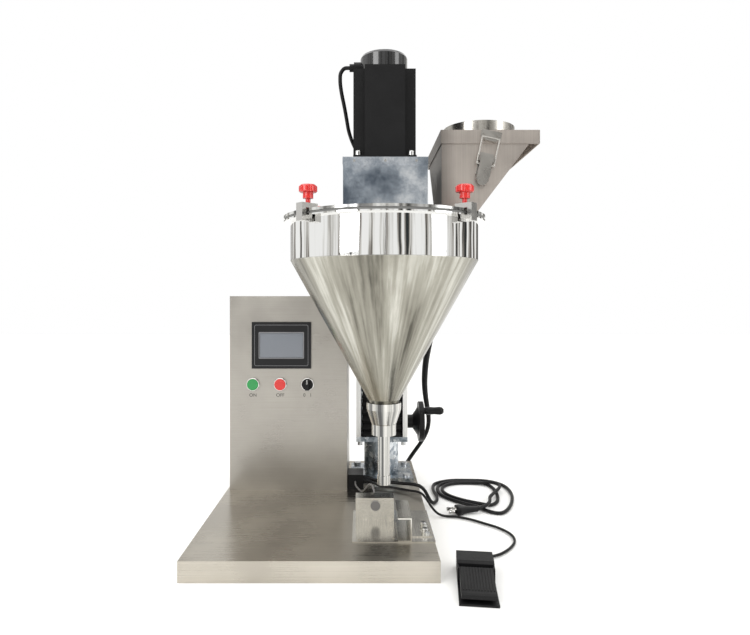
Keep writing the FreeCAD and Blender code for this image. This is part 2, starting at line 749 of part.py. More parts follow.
SQUARE_X = (f"{AX} - motor_side / 2", f"{AX} + motor_side / 2")
SQUARE_Y = (f"{AY} - motor_side / 2", f"{AY} + motor_side / 2")
EAR_TOP = "box_cover_top + motor_ear_thick"
flange_block = fuse(box(SQUARE_X, SQUARE_Y, ("box_cover_top", EAR_TOP)),
                    motor_slice(EAR_TOP, "motor_flange_top"))
motor_flange = cut(flange_block, rod("Z", AX, AY, "box_cover_top - 1",
                                     "motor_shaft_radius + slip", "motor_flange_height - 1"))
motor_screws = [rod("Z", f"{AX} {a} motor_ear_screw", f"{AY} {b} motor_ear_screw", EAR_TOP, 5, 8)
                for a in "+-" for b in "+-"]
node("motor", together(motor_flange, motor_slice("motor_flange_top", "motor_body_top"),
                       motor_slice("motor_body_top", "motor_bell_top"), *motor_screws))
node("motor_encoder_cap", revolved([
    (0, "motor_bell_top"), ("motor_cap_radius", "motor_bell_top"),
    ("motor_cap_radius", "motor_top - motor_cap_round"),
    ("motor_cap_radius - 2", "motor_top - 2"), ("motor_cap_radius - motor_cap_round", "motor_top"),
    (0, "motor_top")], AX, AY))
GLAND_Z = "motor_bell_top + 14"
cable_gland = cut(
    fuse(rod("X", f"{AX} - motor_cap_radius - 12", AY, GLAND_Z, 10, 14),
         rod("X", f"{AX} - motor_cap_radius - 20", AY, GLAND_Z, 7, 9)),
    rod("Z", AX, AY, "motor_bell_top - 1", "motor_cap_radius", "motor_cap_height"))


# --------------------------------------------------------- product inlet chute
def chute_block(shrink):
    """The chute's slanted form; two of its walls stand upright."""
    block = doc.addObject("Part::Wedge", "chute_block")
    bind(block, Xmin=f"chute_left + {shrink}", Xmax=f"chute_low_right - {shrink}",
         Zmin=f"-chute_low_back + {shrink}", Zmax=f"-chute_front - {shrink}",
         X2min=f"chute_left + {shrink}", X2max=f"chute_high_right - {shrink}",
         Z2min=f"-chute_high_back + {shrink}", Z2max=f"-chute_front - {shrink}",
         Ymin="lid_top", Ymax="chute_top")
    return place(block, AX, AY, 0, (1, 0, 0), 90)


node("inlet_chute", cut(chute_block("0"), chute_block("chute_steel")))
COVER_X = (f"{AX} + chute_left - cover_over", f"{AX} + chute_high_right + cover_over")
COVER_Y = (f"{AY} + chute_front - cover_over", f"{AY} + chute_high_back + cover_over")
INLET_X = f"{AX} + inlet_across"
INLET_Y = f"{AY} + inlet_back"
chute_cover = cut(
    box(COVER_X, COVER_Y, ("cover_low", "cover_top")),
    box(grown(COVER_X, "-cover_steel"), grown(COVER_Y, "-cover_steel"),
        ("cover_low - 1", "cover_top - cover_steel")),
    rod("Z", INLET_X, INLET_Y, "cover_top - 5", "inlet_radius - inlet_steel", 10))
inlet_collar = revolved([
    ("inlet_radius - inlet_steel", "cover_top"), ("inlet_radius", "cover_top"),
    ("inlet_radius", "cover_top + inlet_height"),
    ("inlet_radius - inlet_steel", "cover_top + inlet_height")], INLET_X, INLET_Y)
node("chute_cover", chute_cover)
node("inlet_collar", inlet_collar)

# ---------------------------------------------------------------- toggle latch
LATCH_Y = f"{AY} + chute_front - cover_over"


def latched(*parts):
    """Pieces drawn upright about the keeper's middle, set on the tilted latch line."""
    held = together(*parts)
    place(held, f"{AX} + latch_across", LATCH_Y, "cover_top - 8", (0, 1, 0), 1)
    held.setExpression("Placement.Rotation.Angle", formula("latch_tilt"))
    return held


def across(half):
    return (f"-({half})", f"{half}")


HALF_LATCH = "latch_plate_width / 2"
HOOK_X = across(f"{HALF_LATCH} - hook_thick")
PIN_X = (f"-{HALF_LATCH}", "latch_plate_width")
PLATE_FACE = "cover_over - latch_plate_thick"
PIVOT = ("-latch_pivot_reach", "-latch_pivot_drop")
BAIL_PIVOT = ("-latch_pivot_reach", "-bail_pivot_drop")
HOOK_TOP = "-hook_low + hook_thick"
keeper = fuse(
    box(across("keeper_width / 2"), ("-keeper_thick", 0), ("-keeper_height / 2", "keeper_top")),
    box(HOOK_X, ("-keeper_thick", 0), ("-hook_low", "-keeper_height / 2 + 1")),
    box(HOOK_X, ("-hook_reach", 0), ("-hook_low", HOOK_TOP)))
keeper_screws = [rod("Y", f"{side} * keeper_screw_spread", "-2 * keeper_thick", 0,
                     "keeper_screw_radius", "keeper_thick") for side in (-1, 1)]
latch_plate = box(across(HALF_LATCH), (PLATE_FACE, "cover_over"),
                  ("-latch_plate_low_drop", "-latch_plate_top_drop"))
ears = [box((x, f"{x} + latch_ear_thick"), (f"{PIVOT[0]} - 3", "cover_over - 2"),
            (f"{PIVOT[1]} - latch_ear_half", f"{PIVOT[1]} + latch_ear_half"))
        for x in (f"-{HALF_LATCH}", f"{HALF_LATCH} - latch_ear_thick")]
pivot_pin = rod("X", PIN_X[0], *PIVOT, "latch_pin_radius", PIN_X[1])
node("latch_keeper_and_base",
     latched(fuse(keeper, *keeper_screws), fuse(latch_plate, *ears, pivot_pin)))
LEVER_Y = (f"{PIVOT[0]} - lever_half_thick", f"{PIVOT[0]} + lever_half_thick")
lever_bar = box(across(f"{HALF_LATCH} - latch_ear_thick - gap"), LEVER_Y,
                ("-lever_tip_drop", f"{PIVOT[1]} + lever_half_thick"))
lever_tip = rod("Y", 0, LEVER_Y[0], "-lever_tip_drop", f"{HALF_LATCH} - 4", "lever_half_thick")
lever_bore = rod("X", f"-{HALF_LATCH} - 1", *PIVOT, "latch_pin_radius + slip",
                 "latch_plate_width + 2")
bail_bore = rod("X", f"-{HALF_LATCH} - 1", *BAIL_PIVOT, "bail_wire_radius + slip",
                "latch_plate_width + 2")
node("latch_lever", latched(cut(fuse(lever_bar, lever_tip), lever_bore, bail_bore)))
BAIL_HALF = f"{HALF_LATCH} + bail_wire_radius + 2 * gap"
BAIL_TOP = f"{HOOK_TOP} + bail_wire_radius + 0.6"
bail_sides = [rod("Z", f"{side} * ({BAIL_HALF})", *BAIL_PIVOT, "bail_wire_radius",
                  f"{BAIL_TOP} - ({BAIL_PIVOT[1]})") for side in (-1, 1)]
bail_bars = [rod("X", f"-({BAIL_HALF}) - bail_wire_radius", BAIL_PIVOT[0], z, "bail_wire_radius",
                 f"2 * ({BAIL_HALF}) + 2 * bail_wire_radius") for z in (BAIL_PIVOT[1], BAIL_TOP)]
node("latch_bail", latched(fuse(*bail_sides, *bail_bars)))

# ------------------------------------------------------- lid clamps and knobs
CLAMP_TURNS = ["clamp_angle - 90", "-90 - clamp_angle", "90 - clamp_angle", "90 + clamp_angle"]


def round_the_lid(thing, text):
    """Put a piece drawn on the +X side of the lid at its own angle."""
    held = together(thing)
    place(held, AX, AY, 0, (0, 0, 1), 1)
    held.setExpression("Placement.Rotation.Angle", formula(text))
    return held


clamps = []
for number, angle in enumerate(CLAMP_TURNS, start=1):
    half = ("-clamp_width / 2", "clamp_width / 2")
    spine = box(("clamp_outer - clamp_spine", "clamp_outer"), half, ("clamp_low", "clamp_top"))
    upper = box(("clamp_inner", "clamp_outer"), half, ("lid_top + 1", "clamp_top"))
    lower = box(("band_radius + 3", "clamp_outer"), half, ("clamp_low", "flange_low"))
    screw_hole = rod("Z", "clamp_screw_at", 0, "lid_top", "knob_stud_radius + slip", 20)
    clamps.append(round_the_lid(cut(fuse(spine, upper, lower), screw_hole), angle))
    knob = revolved([
        (0, "lid_top"), ("knob_stud_radius", "lid_top"), ("knob_stud_radius", "knob_hub_low"),
        ("knob_hub_radius", "knob_hub_low"), ("knob_hub_radius", "knob_low"),
        ("knob_radius - 1.5", "knob_low"), ("knob_radius", "knob_low + 1.5"),
        ("knob_radius", "knob_low + knob_height - 3"),
        ("knob_radius - 3", "knob_low + knob_height"), (0, "knob_low + knob_height")],
        "clamp_screw_at", 0)
    lobes = [rod("Z", f"clamp_screw_at + (knob_radius + 1) * cos({turn} deg)",
                 f"(knob_radius + 1) * sin({turn} deg)", "knob_low - 1", "knob_lobe_radius",
                 "knob_height + 2") for turn in range(0, 360, 60)]
    node(f"clamp_knob_{number}", round_the_lid(cut(knob, *lobes), angle))
node("lid_clamps", together(*clamps))

# ----------------------------------------------------------------- lift column
COL = "column_across"
ROD_Y = "guide_rod_back"
FRAME_TOP = "column_top - column_plate"
BOLT_UP = "base_top + pedestal_flange"
FLANGE_X = (f"{COL} - pedestal_flange_width / 2", f"{COL} + pedestal_flange_width / 2")
PED_Y = "column_front + column_depth / 2"
FLANGE_Y = (f"{PED_Y} - pedestal_flange_depth / 2", f"{PED_Y} + pedestal_flange_depth / 2")
flange_plate = box(FLANGE_X, FLANGE_Y, ("base_top", BOLT_UP))
pipe = rod("Z", COL, PED_Y, "base_top", "pedestal_radius", "column_low - base_top")
pipe_bore = rod("Z", COL, PED_Y, "base_top - 1", "pedestal_radius - pedestal_wall",
                "column_low - base_top + 2")
flange_holes = [rod("Z", a, b, "base_top - 1", "bolt_radius + slip", 20) for a, b in pedestal_spots]
node("pedestal", cut(fuse(flange_plate, pipe), pipe_bore, *flange_holes))
pedestal_bolts = []
for a, b in pedestal_spots:
    shank = rod("Z", a, b, "base_top - 12", "bolt_radius", "pedestal_flange + 13")
    pedestal_bolts.append(fuse(shank, rod("Z", a, b, BOLT_UP, "bolt_head_radius", "bolt_head")))

COL_Y = ("column_front", "column_back")
RAIL_Z = ("frame_low", FRAME_TOP)
left_rail = box(("column_left", "column_left + rail_thick"), COL_Y, RAIL_Z)
right_rail = box(("column_right - rail_thick", "column_right"), COL_Y, RAIL_Z)
wheel_hole = rod("X", "column_right - rail_thick - 1", "lead_screw_back", "wheel_rise",
                 "wheel_shaft_radius + slip", "rail_thick + 2")
INSIDE_X = ("column_left + rail_thick", "column_right - rail_thick")
bottom_plate = box(("column_left", "column_right"), COL_Y, ("column_low", "frame_low"))
top_plate = cut(box(("column_left", "column_right"), COL_Y, (FRAME_TOP, "column_top")),
                rod("Z", COL, "lead_screw_back", f"{FRAME_TOP} - 1", "lead_screw_radius + slip", 9))
back_plate = box(INSIDE_X, ("column_back - column_back_plate", "column_back"), RAIL_Z)
node("column_plates", together(bottom_plate, top_plate, back_plate))
ROD_X = (f"{COL} - guide_rod_spread", f"{COL} + guide_rod_spread")
guide_rods = [rod("Z", x, ROD_Y, "frame_low", "guide_rod_radius", f"{FRAME_TOP} - frame_low")
              for x in ROD_X]
node("column_rails_and_rods", together(left_rail, cut(right_rail, wheel_hole), *guide_rods))
GEAR_X = (f"{COL} - gearbox_side / 2", f"{COL} + gearbox_side / 2")
GEAR_Y = ("lead_screw_back - gearbox_side / 2", "lead_screw_back + gearbox_side / 2")
gear_block = box(GEAR_X, GEAR_Y, ("frame_low", "frame_low + gearbox_side"))
node("right_angle_gearbox", cut(
    gear_block,
    rod("Z", COL, "lead_screw_back", "wheel_rise + 5 - gap", "lead_screw_radius + slip", 40),
    rod("X", f"{COL} + lead_screw_radius + 3", "lead_screw_back", "wheel_rise",
        "wheel_shaft_radius + slip", 40)))
node("lead_screw", rod("Z", COL, "lead_screw_back", "wheel_rise + 5", "lead_screw_radius",
                       f"{FRAME_TOP} + 7 - wheel_rise - 5"))
BELLOWS_X = (f"{INSIDE_X[0]} + 2", f"{INSIDE_X[1]} - 2")
BELLOWS_Y = ("column_front + 4", "column_front + 16")
node("lower_bellows", box(BELLOWS_X, BELLOWS_Y, ("frame_low", "carriage_low - gap")))
node("upper_bellows", box(BELLOWS_X, BELLOWS_Y, ("carriage_top + gap", FRAME_TOP)))

# --------------------------------------------- carriage, nut and support arm
ARM_BACK = "arm_plate_front + arm_plate_thick"
CARRIAGE_X = (f"{INSIDE_X[0]} + gap", f"{INSIDE_X[1]} - gap")
carriage_block = box(CARRIAGE_X, (ARM_BACK, "lead_screw_back + 24"), ("carriage_low", "carriage_top"))
carriage_bores = [rod("Z", x, ROD_Y, "carriage_low - 1", "guide_rod_radius + slip",
                      "carriage_height + 2") for x in ROD_X]
nut_bore = rod("Z", COL, "lead_screw_back", "carriage_low - 1", "nut_flange_radius - 4",
               "carriage_height + 2")
carriage = cut(carriage_block, nut_bore, *carriage_bores)
lead_nut = revolved([
    ("lead_screw_radius + slip", "carriage_low - nut_flange"),
    ("nut_flange_radius", "carriage_low - nut_flange"), ("nut_flange_radius", "carriage_low"),
    ("nut_flange_radius - 4", "carriage_low"),
    ("nut_flange_radius - 4", "carriage_low + nut_length"),
    ("lead_screw_radius + slip", "carriage_low + nut_length")], COL, "lead_screw_back")
node("carriage_and_nut", together(carriage, lead_nut))
BEAM_FRONT = f"{AY} + drive_box_depth / 2"
BEAM_TOP = "arm_beam_low + arm_beam_height"
arm_plate = box((f"{COL} - arm_plate_width / 2", f"{COL} + arm_plate_width / 2"),
                ("arm_plate_front", ARM_BACK), ("carriage_low", BEAM_TOP))
BEAM_X = (f"{COL} - arm_beam_width / 2", f"{COL} + arm_beam_width / 2")
beam = box(BEAM_X, (BEAM_FRONT, "arm_plate_front"), ("arm_beam_low", BEAM_TOP))
beam_hollow = box(grown(BEAM_X, "-arm_wall"), (f"{BEAM_FRONT} + arm_wall", "arm_plate_front - arm_wall"),
                  ("arm_beam_low - 1", f"{BEAM_TOP} - arm_wall"))
gussets = [padded("YZ", [("arm_plate_front", "arm_beam_low"), ("arm_plate_front", "carriage_top"),
                         ("arm_plate_front - 70", "arm_beam_low")], "arm_wall", x)
           for x in (BEAM_X[0], f"{BEAM_X[1]} - arm_wall")]
node("support_arm", fuse(arm_plate, cut(beam, beam_hollow), *gussets))

# ------------------------------------------------------------------- handwheel
wheel_shaft = rod("X", f"{COL} + lead_screw_radius + 3 + gap", "lead_screw_back", "wheel_rise",
                  "wheel_shaft_radius", f"wheel_hub_start + 20 - ({COL} + lead_screw_radius + 3)")
RIM_LOW = "wheel_rim_start - wheel_hub_start"
RIM_HIGH = f"{RIM_LOW} + wheel_rim_width"
wheel = revolved([
    ("wheel_shaft_radius", 0), ("wheel_hub_radius", 0), ("wheel_hub_radius", 14),
    ("grip_offset", RIM_LOW), ("wheel_rim_radius - 1", RIM_LOW),
    ("wheel_rim_radius", f"{RIM_LOW} + 1"), ("wheel_rim_radius", f"{RIM_HIGH} - 1"),
    ("wheel_rim_radius - 1", RIM_HIGH), ("grip_offset - 4", RIM_HIGH),
    ("grip_offset - 6", f"{RIM_LOW} + 6"), ("wheel_hub_radius - 2", 20),
    ("wheel_shaft_radius", 20)], "wheel_hub_start", "lead_screw_back", "wheel_rise", "X")
GRIP_Y = "lead_screw_back - grip_offset * sin(grip_turn * 1 deg)"
GRIP_Z = "wheel_rise + grip_offset * cos(grip_turn * 1 deg)"
grip_pin = rod("X", "wheel_rim_end", GRIP_Y, GRIP_Z, 3, "grip_length + gap")
pin_head = rod("X", "wheel_rim_end + grip_length + 2 * gap", GRIP_Y, GRIP_Z, 5, 2)
node("handwheel", together(wheel, wheel_shaft, fuse(grip_pin, pin_head)))
node("handwheel_grip", revolved([
    ("3 + slip", 0), ("grip_radius - 2", 0), ("grip_radius", 8), ("grip_radius - 1", 24),
    ("grip_radius", "grip_length - 6"), ("grip_radius - 2", "grip_length"),
    ("3 + slip", "grip_length")], "wheel_rim_end + gap", GRIP_Y, GRIP_Z, "X"))

# ------------------------------------- container rest, side stop, sensor box
REST_X = ("rest_left", "rest_left + rest_width")
REST_Y = ("rest_front", "rest_front + rest_depth")
rest_holes = [rod("Z", f"rest_left + {x}", f"rest_front + {y}", "base_top - 1", "rest_hole_radius",
                  "rest_thick + 2") for x, y in ((12, 8), (72, 14))]
node("container_rest", cut(box(REST_X, REST_Y, ("base_top", "rest_top")), *rest_holes))
SENSE_X = ("sensor_box_left", "sensor_box_left + sensor_box_width")
SENSE_Y = ("sensor_box_front", "sensor_box_front + sensor_box_depth")
SENSE_Z = ("rest_top", "rest_top + sensor_box_height")
node("sensor_box", cut(
    box(SENSE_X, SENSE_Y, SENSE_Z),
    box(grown(SENSE_X, "-sensor_steel"), ("sensor_box_front + sensor_steel", f"{SENSE_Y[1]} + 1"),
        ("rest_top - 1", f"{SENSE_Z[1]} - sensor_steel")),
    rod("Y", "sensor_across", "sensor_box_front - 1", "sensor_rise", "sensor_radius", 5)))
STOP_X = ("stop_left", "stop_left + stop_width")
STOP_Z = SENSE_Z
stop_front = ("rest_front", "rest_front + stop_depth")
stop_block = cut(box(STOP_X, stop_front, STOP_Z),
                 box((f"{STOP_X[0]} - 1", f"{STOP_X[1]} - stop_steel"),
                     ("rest_front - 1", "rest_front + stop_depth + 1"),
                     ("rest_top + stop_steel", f"{STOP_Z[1]} - stop_steel")))
FOOT_FRONT = "rest_front + stop_foot_front"
stop_foot = box((STOP_X[1], f"{STOP_X[1]} + stop_foot"),
                (FOOT_FRONT, f"{FOOT_FRONT} + stop_foot_depth"),
                ("rest_top", "rest_top + stop_steel"))
node("side_stop", fuse(stop_block, stop_foot))
stop_screws = [rod("Z", f"{STOP_X[1]} + {x}", f"{FOOT_FRONT} + {y}", "rest_top + stop_steel",
                   "foot_screw_radius", "foot_screw_head") for x, y in ((29, 44), (30, 10))]
column_spots = [(f"{COL} {a} column_bolt_across", f"{PED_Y} {b} column_bolt_back")
                for a in "-+" for b in "-+"]
column_bolts = [rod("Z", x, y, "column_low - column_bolt_head", "column_bolt_radius",
                    "column_bolt_head") for x, y in column_spots]
node("base_fasteners", together(*cover_screws, *pedestal_bolts, *stop_screws, *column_bolts))
ENTRY_X = ("entry_left", "entry_left + entry_width")
ENTRY_Y = ("entry_front", "entry_front + entry_depth")
node("cable_entry_box", box(ENTRY_X, ENTRY_Y, ("base_top", "base_top + entry_height")))

# ------------------------------------------------------------------ foot pedal
def by_the_pedal(*parts):
    """Pieces drawn with their length along +Y, set where the pedal lies."""
    held = together(*parts)
    place(held, "pedal_across", "pedal_front", 0, (0, 0, 1), 1)
    held.setExpression("Placement.Rotation.Angle", formula("-pedal_turn"))
    return held


HALF_PEDAL = "pedal_width / 2"
pedal_floor = box(across(HALF_PEDAL), (0, "pedal_length"), (0, "pedal_base_thick"))
HOUSE_FRONT = "pedal_pin_back + pedal_ear_back"
pedal_house = padded("YZ", [
    (HOUSE_FRONT, "pedal_base_thick"), (HOUSE_FRONT, "pedal_back_height - 3"),
    (f"{HOUSE_FRONT} + 6", "pedal_back_height"), ("pedal_length - 6", "pedal_back_height"),
    ("pedal_length", "pedal_back_height - 6"), ("pedal_length", "pedal_base_thick")],
    "pedal_width", middle=True)
pedal_ears = [box((x, f"{x} + pedal_ear_thick"), ("pedal_pin_back - 6", HOUSE_FRONT),
                  ("pedal_base_thick", "pedal_pin_rise + 6"))
              for x in (f"-{HALF_PEDAL}", f"{HALF_PEDAL} - pedal_ear_thick")]
pedal_pin = rod("X", f"-{HALF_PEDAL}", "pedal_pin_back", "pedal_pin_rise", "pedal_pin_radius",
                "pedal_width")
node("foot_pedal_base", by_the_pedal(fuse(pedal_floor, pedal_house, *pedal_ears, pedal_pin)))
TREAD_WIDTH = "pedal_width - 2 * pedal_ear_thick - 2 * gap"
TREAD_BACK = "pedal_pin_rise + 5.5"
tread_plate = padded("YZ", [
    ("tread_front", "tread_front_low"), ("tread_front", "tread_front_high - 2"),
    ("tread_front + 2.5", "tread_front_high"), ("pedal_pin_back", TREAD_BACK),
    ("pedal_pin_back + 5.5", "pedal_pin_rise"), ("pedal_pin_back", "pedal_pin_rise - 4.5"),
    ("tread_front + 8", "tread_front_low")], TREAD_WIDTH, middle=True)
tread_ribs = [padded("YZ", [
    ("tread_front + 9", "tread_front_high"),
    ("tread_front + 10", "tread_front_high + tread_rib_rise + 0.6"),
    ("pedal_pin_back - 2", f"{TREAD_BACK} + tread_rib_rise"),
    ("pedal_pin_back", f"{TREAD_BACK} - 0.5")], "pedal_rib_width", f"{n} * pedal_rib_pitch",
    middle=True) for n in range(-5, 6)]
tread_bore = rod("X", f"-{HALF_PEDAL}", "pedal_pin_back", "pedal_pin_rise",
                 "pedal_pin_radius + slip", "pedal_width")
node("foot_pedal_tread", by_the_pedal(cut(fuse(tread_plate, *tread_ribs), tread_bore)))


# ----------------------------------------------------------------------- cords
def cord(name, route, diameter):
    """A round cord: straight runs between the route's points, joined by tangent arcs."""
    points = [Vector(*point) for point in route]
    edges = []
    start = points[0]
    radii = []
    for before, corner, after in zip(points, points[1:], points[2:]):
        back = (before - corner).normalize()
        ahead = (after - corner).normalize()
        turn = math.pi - back.getAngle(ahead)
        reach = 0.45 * min((before - corner).Length, (after - corner).Length)
        radii.append(reach / math.tan(turn / 2))
        first = corner + back * reach
        last = corner + ahead * reach
        inward = (back + ahead).normalize()
        middle = corner + inward * (math.hypot(radii[-1], reach) - radii[-1])
        edges += [Part.LineSegment(start, first).toShape(), Part.Arc(first, middle, last).toShape()]
        start = last
    edges.append(Part.LineSegment(start, points[-1]).toShape())
    path = Part.Wire(edges)
    ring = Part.Wire([Part.makeCircle(diameter / 2, points[0], points[1] - points[0])])
    tube = path.makePipeShell([ring], True, False)
    length = sum(edge.Length for edge in edges)
    share = tube.Volume / (math.pi * diameter ** 2 / 4 * length)
    print(f"{name}: {length:.0f} mm long, volume {share:.3f} of section times length, radii "
          + " ".join(f"{radius:.0f}" for radius in radii))
    thing = doc.addObject("Part::Feature", name)
    thing.Shape = tube
    return thing


# the power cord leaves the entry box, crosses the base's edge and runs into its coil
POWER_ROUTE = [(88.3, 98, 50), (101, 98, 50), (115, 98, 45), (131, 97, 42), (149, 93, 42.5),
               (166, 85, 43), (182, 75, 44.5), (197, 64, 47), (211, 54, 47), (222, 51, 38),
               (229, 52, 24), (236, 56, 11), (243, 64, 5), (249, 76, 4.2), (254, 90, 4.6),
               (256, 105, 5), (256, 120, 5)]
PEDAL_ROUTE = [(88.3, 80, 50), (99, 80, 50), (111, 77, 45), (125, 72, 40.5), (142, 66, 41.5),
               (158, 58, 40.5), (174, 48, 41), (190, 35, 42), (203, 22, 44.5), (213, 12, 43),
               (221, 5, 34), (229, 0, 22), (238, -4, 11), (248, -8, 5), (262, -10, 3),
               (280, -12, 3.4), (298, -20, 3), (315, -33, 3.2), (333, -50, 3), (350, -66, 3.3),
               (364, -84, 3), (372, -104, 3.2), (374, -124, 3), (369, -145, 3.3),
               (359, -163, 3), (346, -180, 3.2), (331, -195, 3.4), (314, -206, 4),
               (298, -210, 6.5), (285, -214, 10), (277.2, -226, 12), (275.8, -237.9, 12)]
MOTOR_ROUTE = [(62.5, -167, 877), (53, -167, 877), (45.5, -165.5, 868), (45, -161, 852),
               (47.5, -154, 835), (52, -143, 816), (56, -130, 796), (59.5, -115, 776),
               (67, -101, 757), (78, -91, 738), (90, -84, 719), (100, -76, 704),
               (105, -66, 693), (105, -66, 682)]
HARNESS_ROUTE = [(198, 296, 17), (199, 311, 18), (204, 325, 24), (214, 333, 37), (227, 333, 55),
                 (240, 328, 75), (252, 322, 97), (259, 316, 122), (259, 311, 149),
                 (254, 306, 176), (249, 300, 205), (246, 293, 236), (246, 284, 268),
                 (248, 273, 301), (253, 260, 335), (258, 245, 370), (261, 228, 405),
                 (261, 209, 440), (258, 189, 475), (252, 169, 508), (244, 149, 541),
                 (233, 130, 571), (219, 113, 598), (204, 99, 625), (188, 93, 645), (171.4, 93, 645)]
SENSOR_ROUTE = [(110.5, -86, 62.6), (110.5, -80.5, 64), (109.5, -76.5, 71), (108, -72, 81),
                (104, -63, 86), (100, -51, 83), (96, -37, 75), (92, -22, 65), (88, -6, 55),
                (84, 11, 48), (79, 29, 46), (72, 43, 49), (70, 54, 52), (70, 66, 52)]
node("power_cord", cord("power_cord", POWER_ROUTE, size("power_cord")))
node("pedal_cord", cord("pedal_cord", PEDAL_ROUTE, size("pedal_cord")))
motor_lead = cord("motor_lead", MOTOR_ROUTE, size("motor_cable"))
node("motor_cable", together(motor_lead, cable_gland))
node("lift_harness", cord("lift_harness", HARNESS_ROUTE, size("harness")))
sensor_lead = cord("sensor_lead", SENSOR_ROUTE, size("sensor_wire"))

COIL_LINE = [(265, 134), (253, 181), (284, 221), (342, 232), (394, 221), (430, 150), (419, 101),
             (400, 50), (373, 8), (345, 12), (306, 80)]


def coil_outline(beside):
    """A smooth closed line beside the coil's middle line."""
    points = [Vector(x, y, 0) for x, y in COIL_LINE]
    moved = []
    for before, point, after in zip(points[-1:] + points, points, points[1:] + points[:1]):
        along = (after - before).normalize()
        moved.append(point + Vector(-along.y, along.x, 0) * beside)
    line = Part.BSplineCurve()
    line.interpolate(moved, PeriodicFlag=True)
    return Part.Face(Part.Wire([line.toShape()]))


coil_up = Vector(0, 0, size("coil_height"))
coil = doc.addObject("Part::Feature", "power_coil")
coil.Shape = coil_outline(size("coil_width") / 2).extrude(coil_up).cut(
    coil_outline(-size("coil_width") / 2).extrude(coil_up))
node("power_coil", coil)

plug_body = padded("XY", [(0, -7), (30, -7), (42, -13), (50, -13), (50, 13), (42, 13), (30, 7),
                          (0, 7)], 18)
plug_pins = [box((50, 68), (y - 1.6, y + 1.6), (6, 12)) for y in (-7, 7)]
earth_pin = rod("X", 50, 0, 14, 2.4, 20)
plug = together(fuse(plug_body, *plug_pins, earth_pin))
place(plug, 333, 18, 0, (0, 0, 1), 190)
node("power_plug", plug)

product_sensor = fuse(
    rod("Y", "sensor_across", "sensor_box_front - 3", "sensor_rise", "sensor_radius",
        "sensor_length"),
    rod("Y", "sensor_across", "sensor_box_front + sensor_steel", "sensor_rise",
        "sensor_radius + 3", 3),
    rod("Y", "sensor_across", "sensor_box_front - 3", "sensor_rise", "sensor_radius + 3", 3))
node("product_sensor", together(product_sensor, sensor_lead))

# ------------------------------------------------------------ check and export
doc.recompute()
for thing in doc.Objects:
    if "Invalid" in thing.State or "Error" in thing.State:
        raise RuntimeError(f"{thing.Label} ({thing.Name}) failed: {thing.State}")
labels = [thing.Label for thing in NODES]
if len(set(labels)) != len(labels):
    raise RuntimeError("two sub-parts share a name")
os.makedirs("parts", exist_ok=True)
for thing in NODES:
    if thing.Shape.isNull() or not thing.Shape.isValid():
        raise RuntimeError(f"{thing.Label} has no valid shape")
    thing.Shape.exportStep(f"parts/{thing.Label}.step")
print(len(NODES), "sub-parts written")
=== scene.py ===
# %% [markdown]
# An auger powder filler: a stainless machine with a mirror-bright hopper, a black motor and
# a brushed cabinet. The CAD model already has every part at its real size, so this lesson
# gives each part its finish, and adds what CAD leaves out: folded bellows, cords that lie
# in soft curves, plain words by the controls, and socket screws.

# %% Load the fixed frame
import math
import bmesh
import bpy
from mathutils import Matrix, Vector


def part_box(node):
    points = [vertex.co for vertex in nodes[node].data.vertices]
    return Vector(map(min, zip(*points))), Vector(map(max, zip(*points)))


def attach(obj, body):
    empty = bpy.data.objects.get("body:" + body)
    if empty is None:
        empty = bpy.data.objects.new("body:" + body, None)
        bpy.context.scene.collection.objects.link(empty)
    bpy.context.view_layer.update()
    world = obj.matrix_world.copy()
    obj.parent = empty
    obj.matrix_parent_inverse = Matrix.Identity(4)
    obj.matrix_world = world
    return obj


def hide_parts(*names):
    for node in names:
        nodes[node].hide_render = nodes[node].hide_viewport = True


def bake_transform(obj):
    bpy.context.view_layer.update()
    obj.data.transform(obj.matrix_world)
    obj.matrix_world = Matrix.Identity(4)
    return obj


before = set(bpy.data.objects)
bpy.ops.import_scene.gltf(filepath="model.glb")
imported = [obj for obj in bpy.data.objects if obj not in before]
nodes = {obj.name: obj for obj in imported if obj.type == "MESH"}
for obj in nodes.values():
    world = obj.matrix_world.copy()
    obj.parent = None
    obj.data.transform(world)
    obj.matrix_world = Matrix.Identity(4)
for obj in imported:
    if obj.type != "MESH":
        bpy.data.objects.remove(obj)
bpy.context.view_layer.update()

# %% [markdown]
# The camera comes first, because everything else is judged through it. The machine was
# seen square on, from a little above half its height, so the camera looks straight along
# +Y and a small lens shift does the framing: tilting it instead would make uprights lean.

# %% Camera
auger_axis = Vector((0.125, -0.167, 0))
camera_data = bpy.data.cameras.new("camera")
camera = bpy.data.objects.new("camera", camera_data)
bpy.context.scene.collection.objects.link(camera)
camera.location = (0.087, -1.26, 0.46)
camera.rotation_euler = (math.radians(90), 0, 0)
camera_data.lens = 28.8
camera_data.shift_x = 0.016
camera_data.shift_y = -0.0273
bpy.context.scene.camera = camera
print("camera", tuple(round(v, 3) for v in camera.location), "lens", camera_data.lens, "mm")

# %% [markdown]
# Polished steel has almost no colour of its own: it shows the room. A plain white room
# makes it look like paper, so the world is white to the camera but holds tall soft dark
# bars for reflections, as windows, doors and people would give. They are made from the
# direction of the ray alone, with noise stretched from floor to ceiling.


# %% Node helpers
def add(tree, kind, settings=None, **inputs):
    """Add one shader node; an input is a value, or another node's output."""
    made = tree.nodes.new(kind)
    for name, value in (settings or {}).items():
        setattr(made, name, value)
    for name, value in inputs.items():
        key = int(name[1:]) if name[0] == "i" and name[1:].isdigit() else name.replace("_", " ")
        if isinstance(value, bpy.types.NodeSocket):
            tree.links.new(value, made.inputs[key])
        else:
            made.inputs[key].default_value = value
    return made


def maths(tree, operation, first, second=0.0):
    return add(tree, "ShaderNodeMath", {"operation": operation}, i0=first, i1=second).outputs[0]


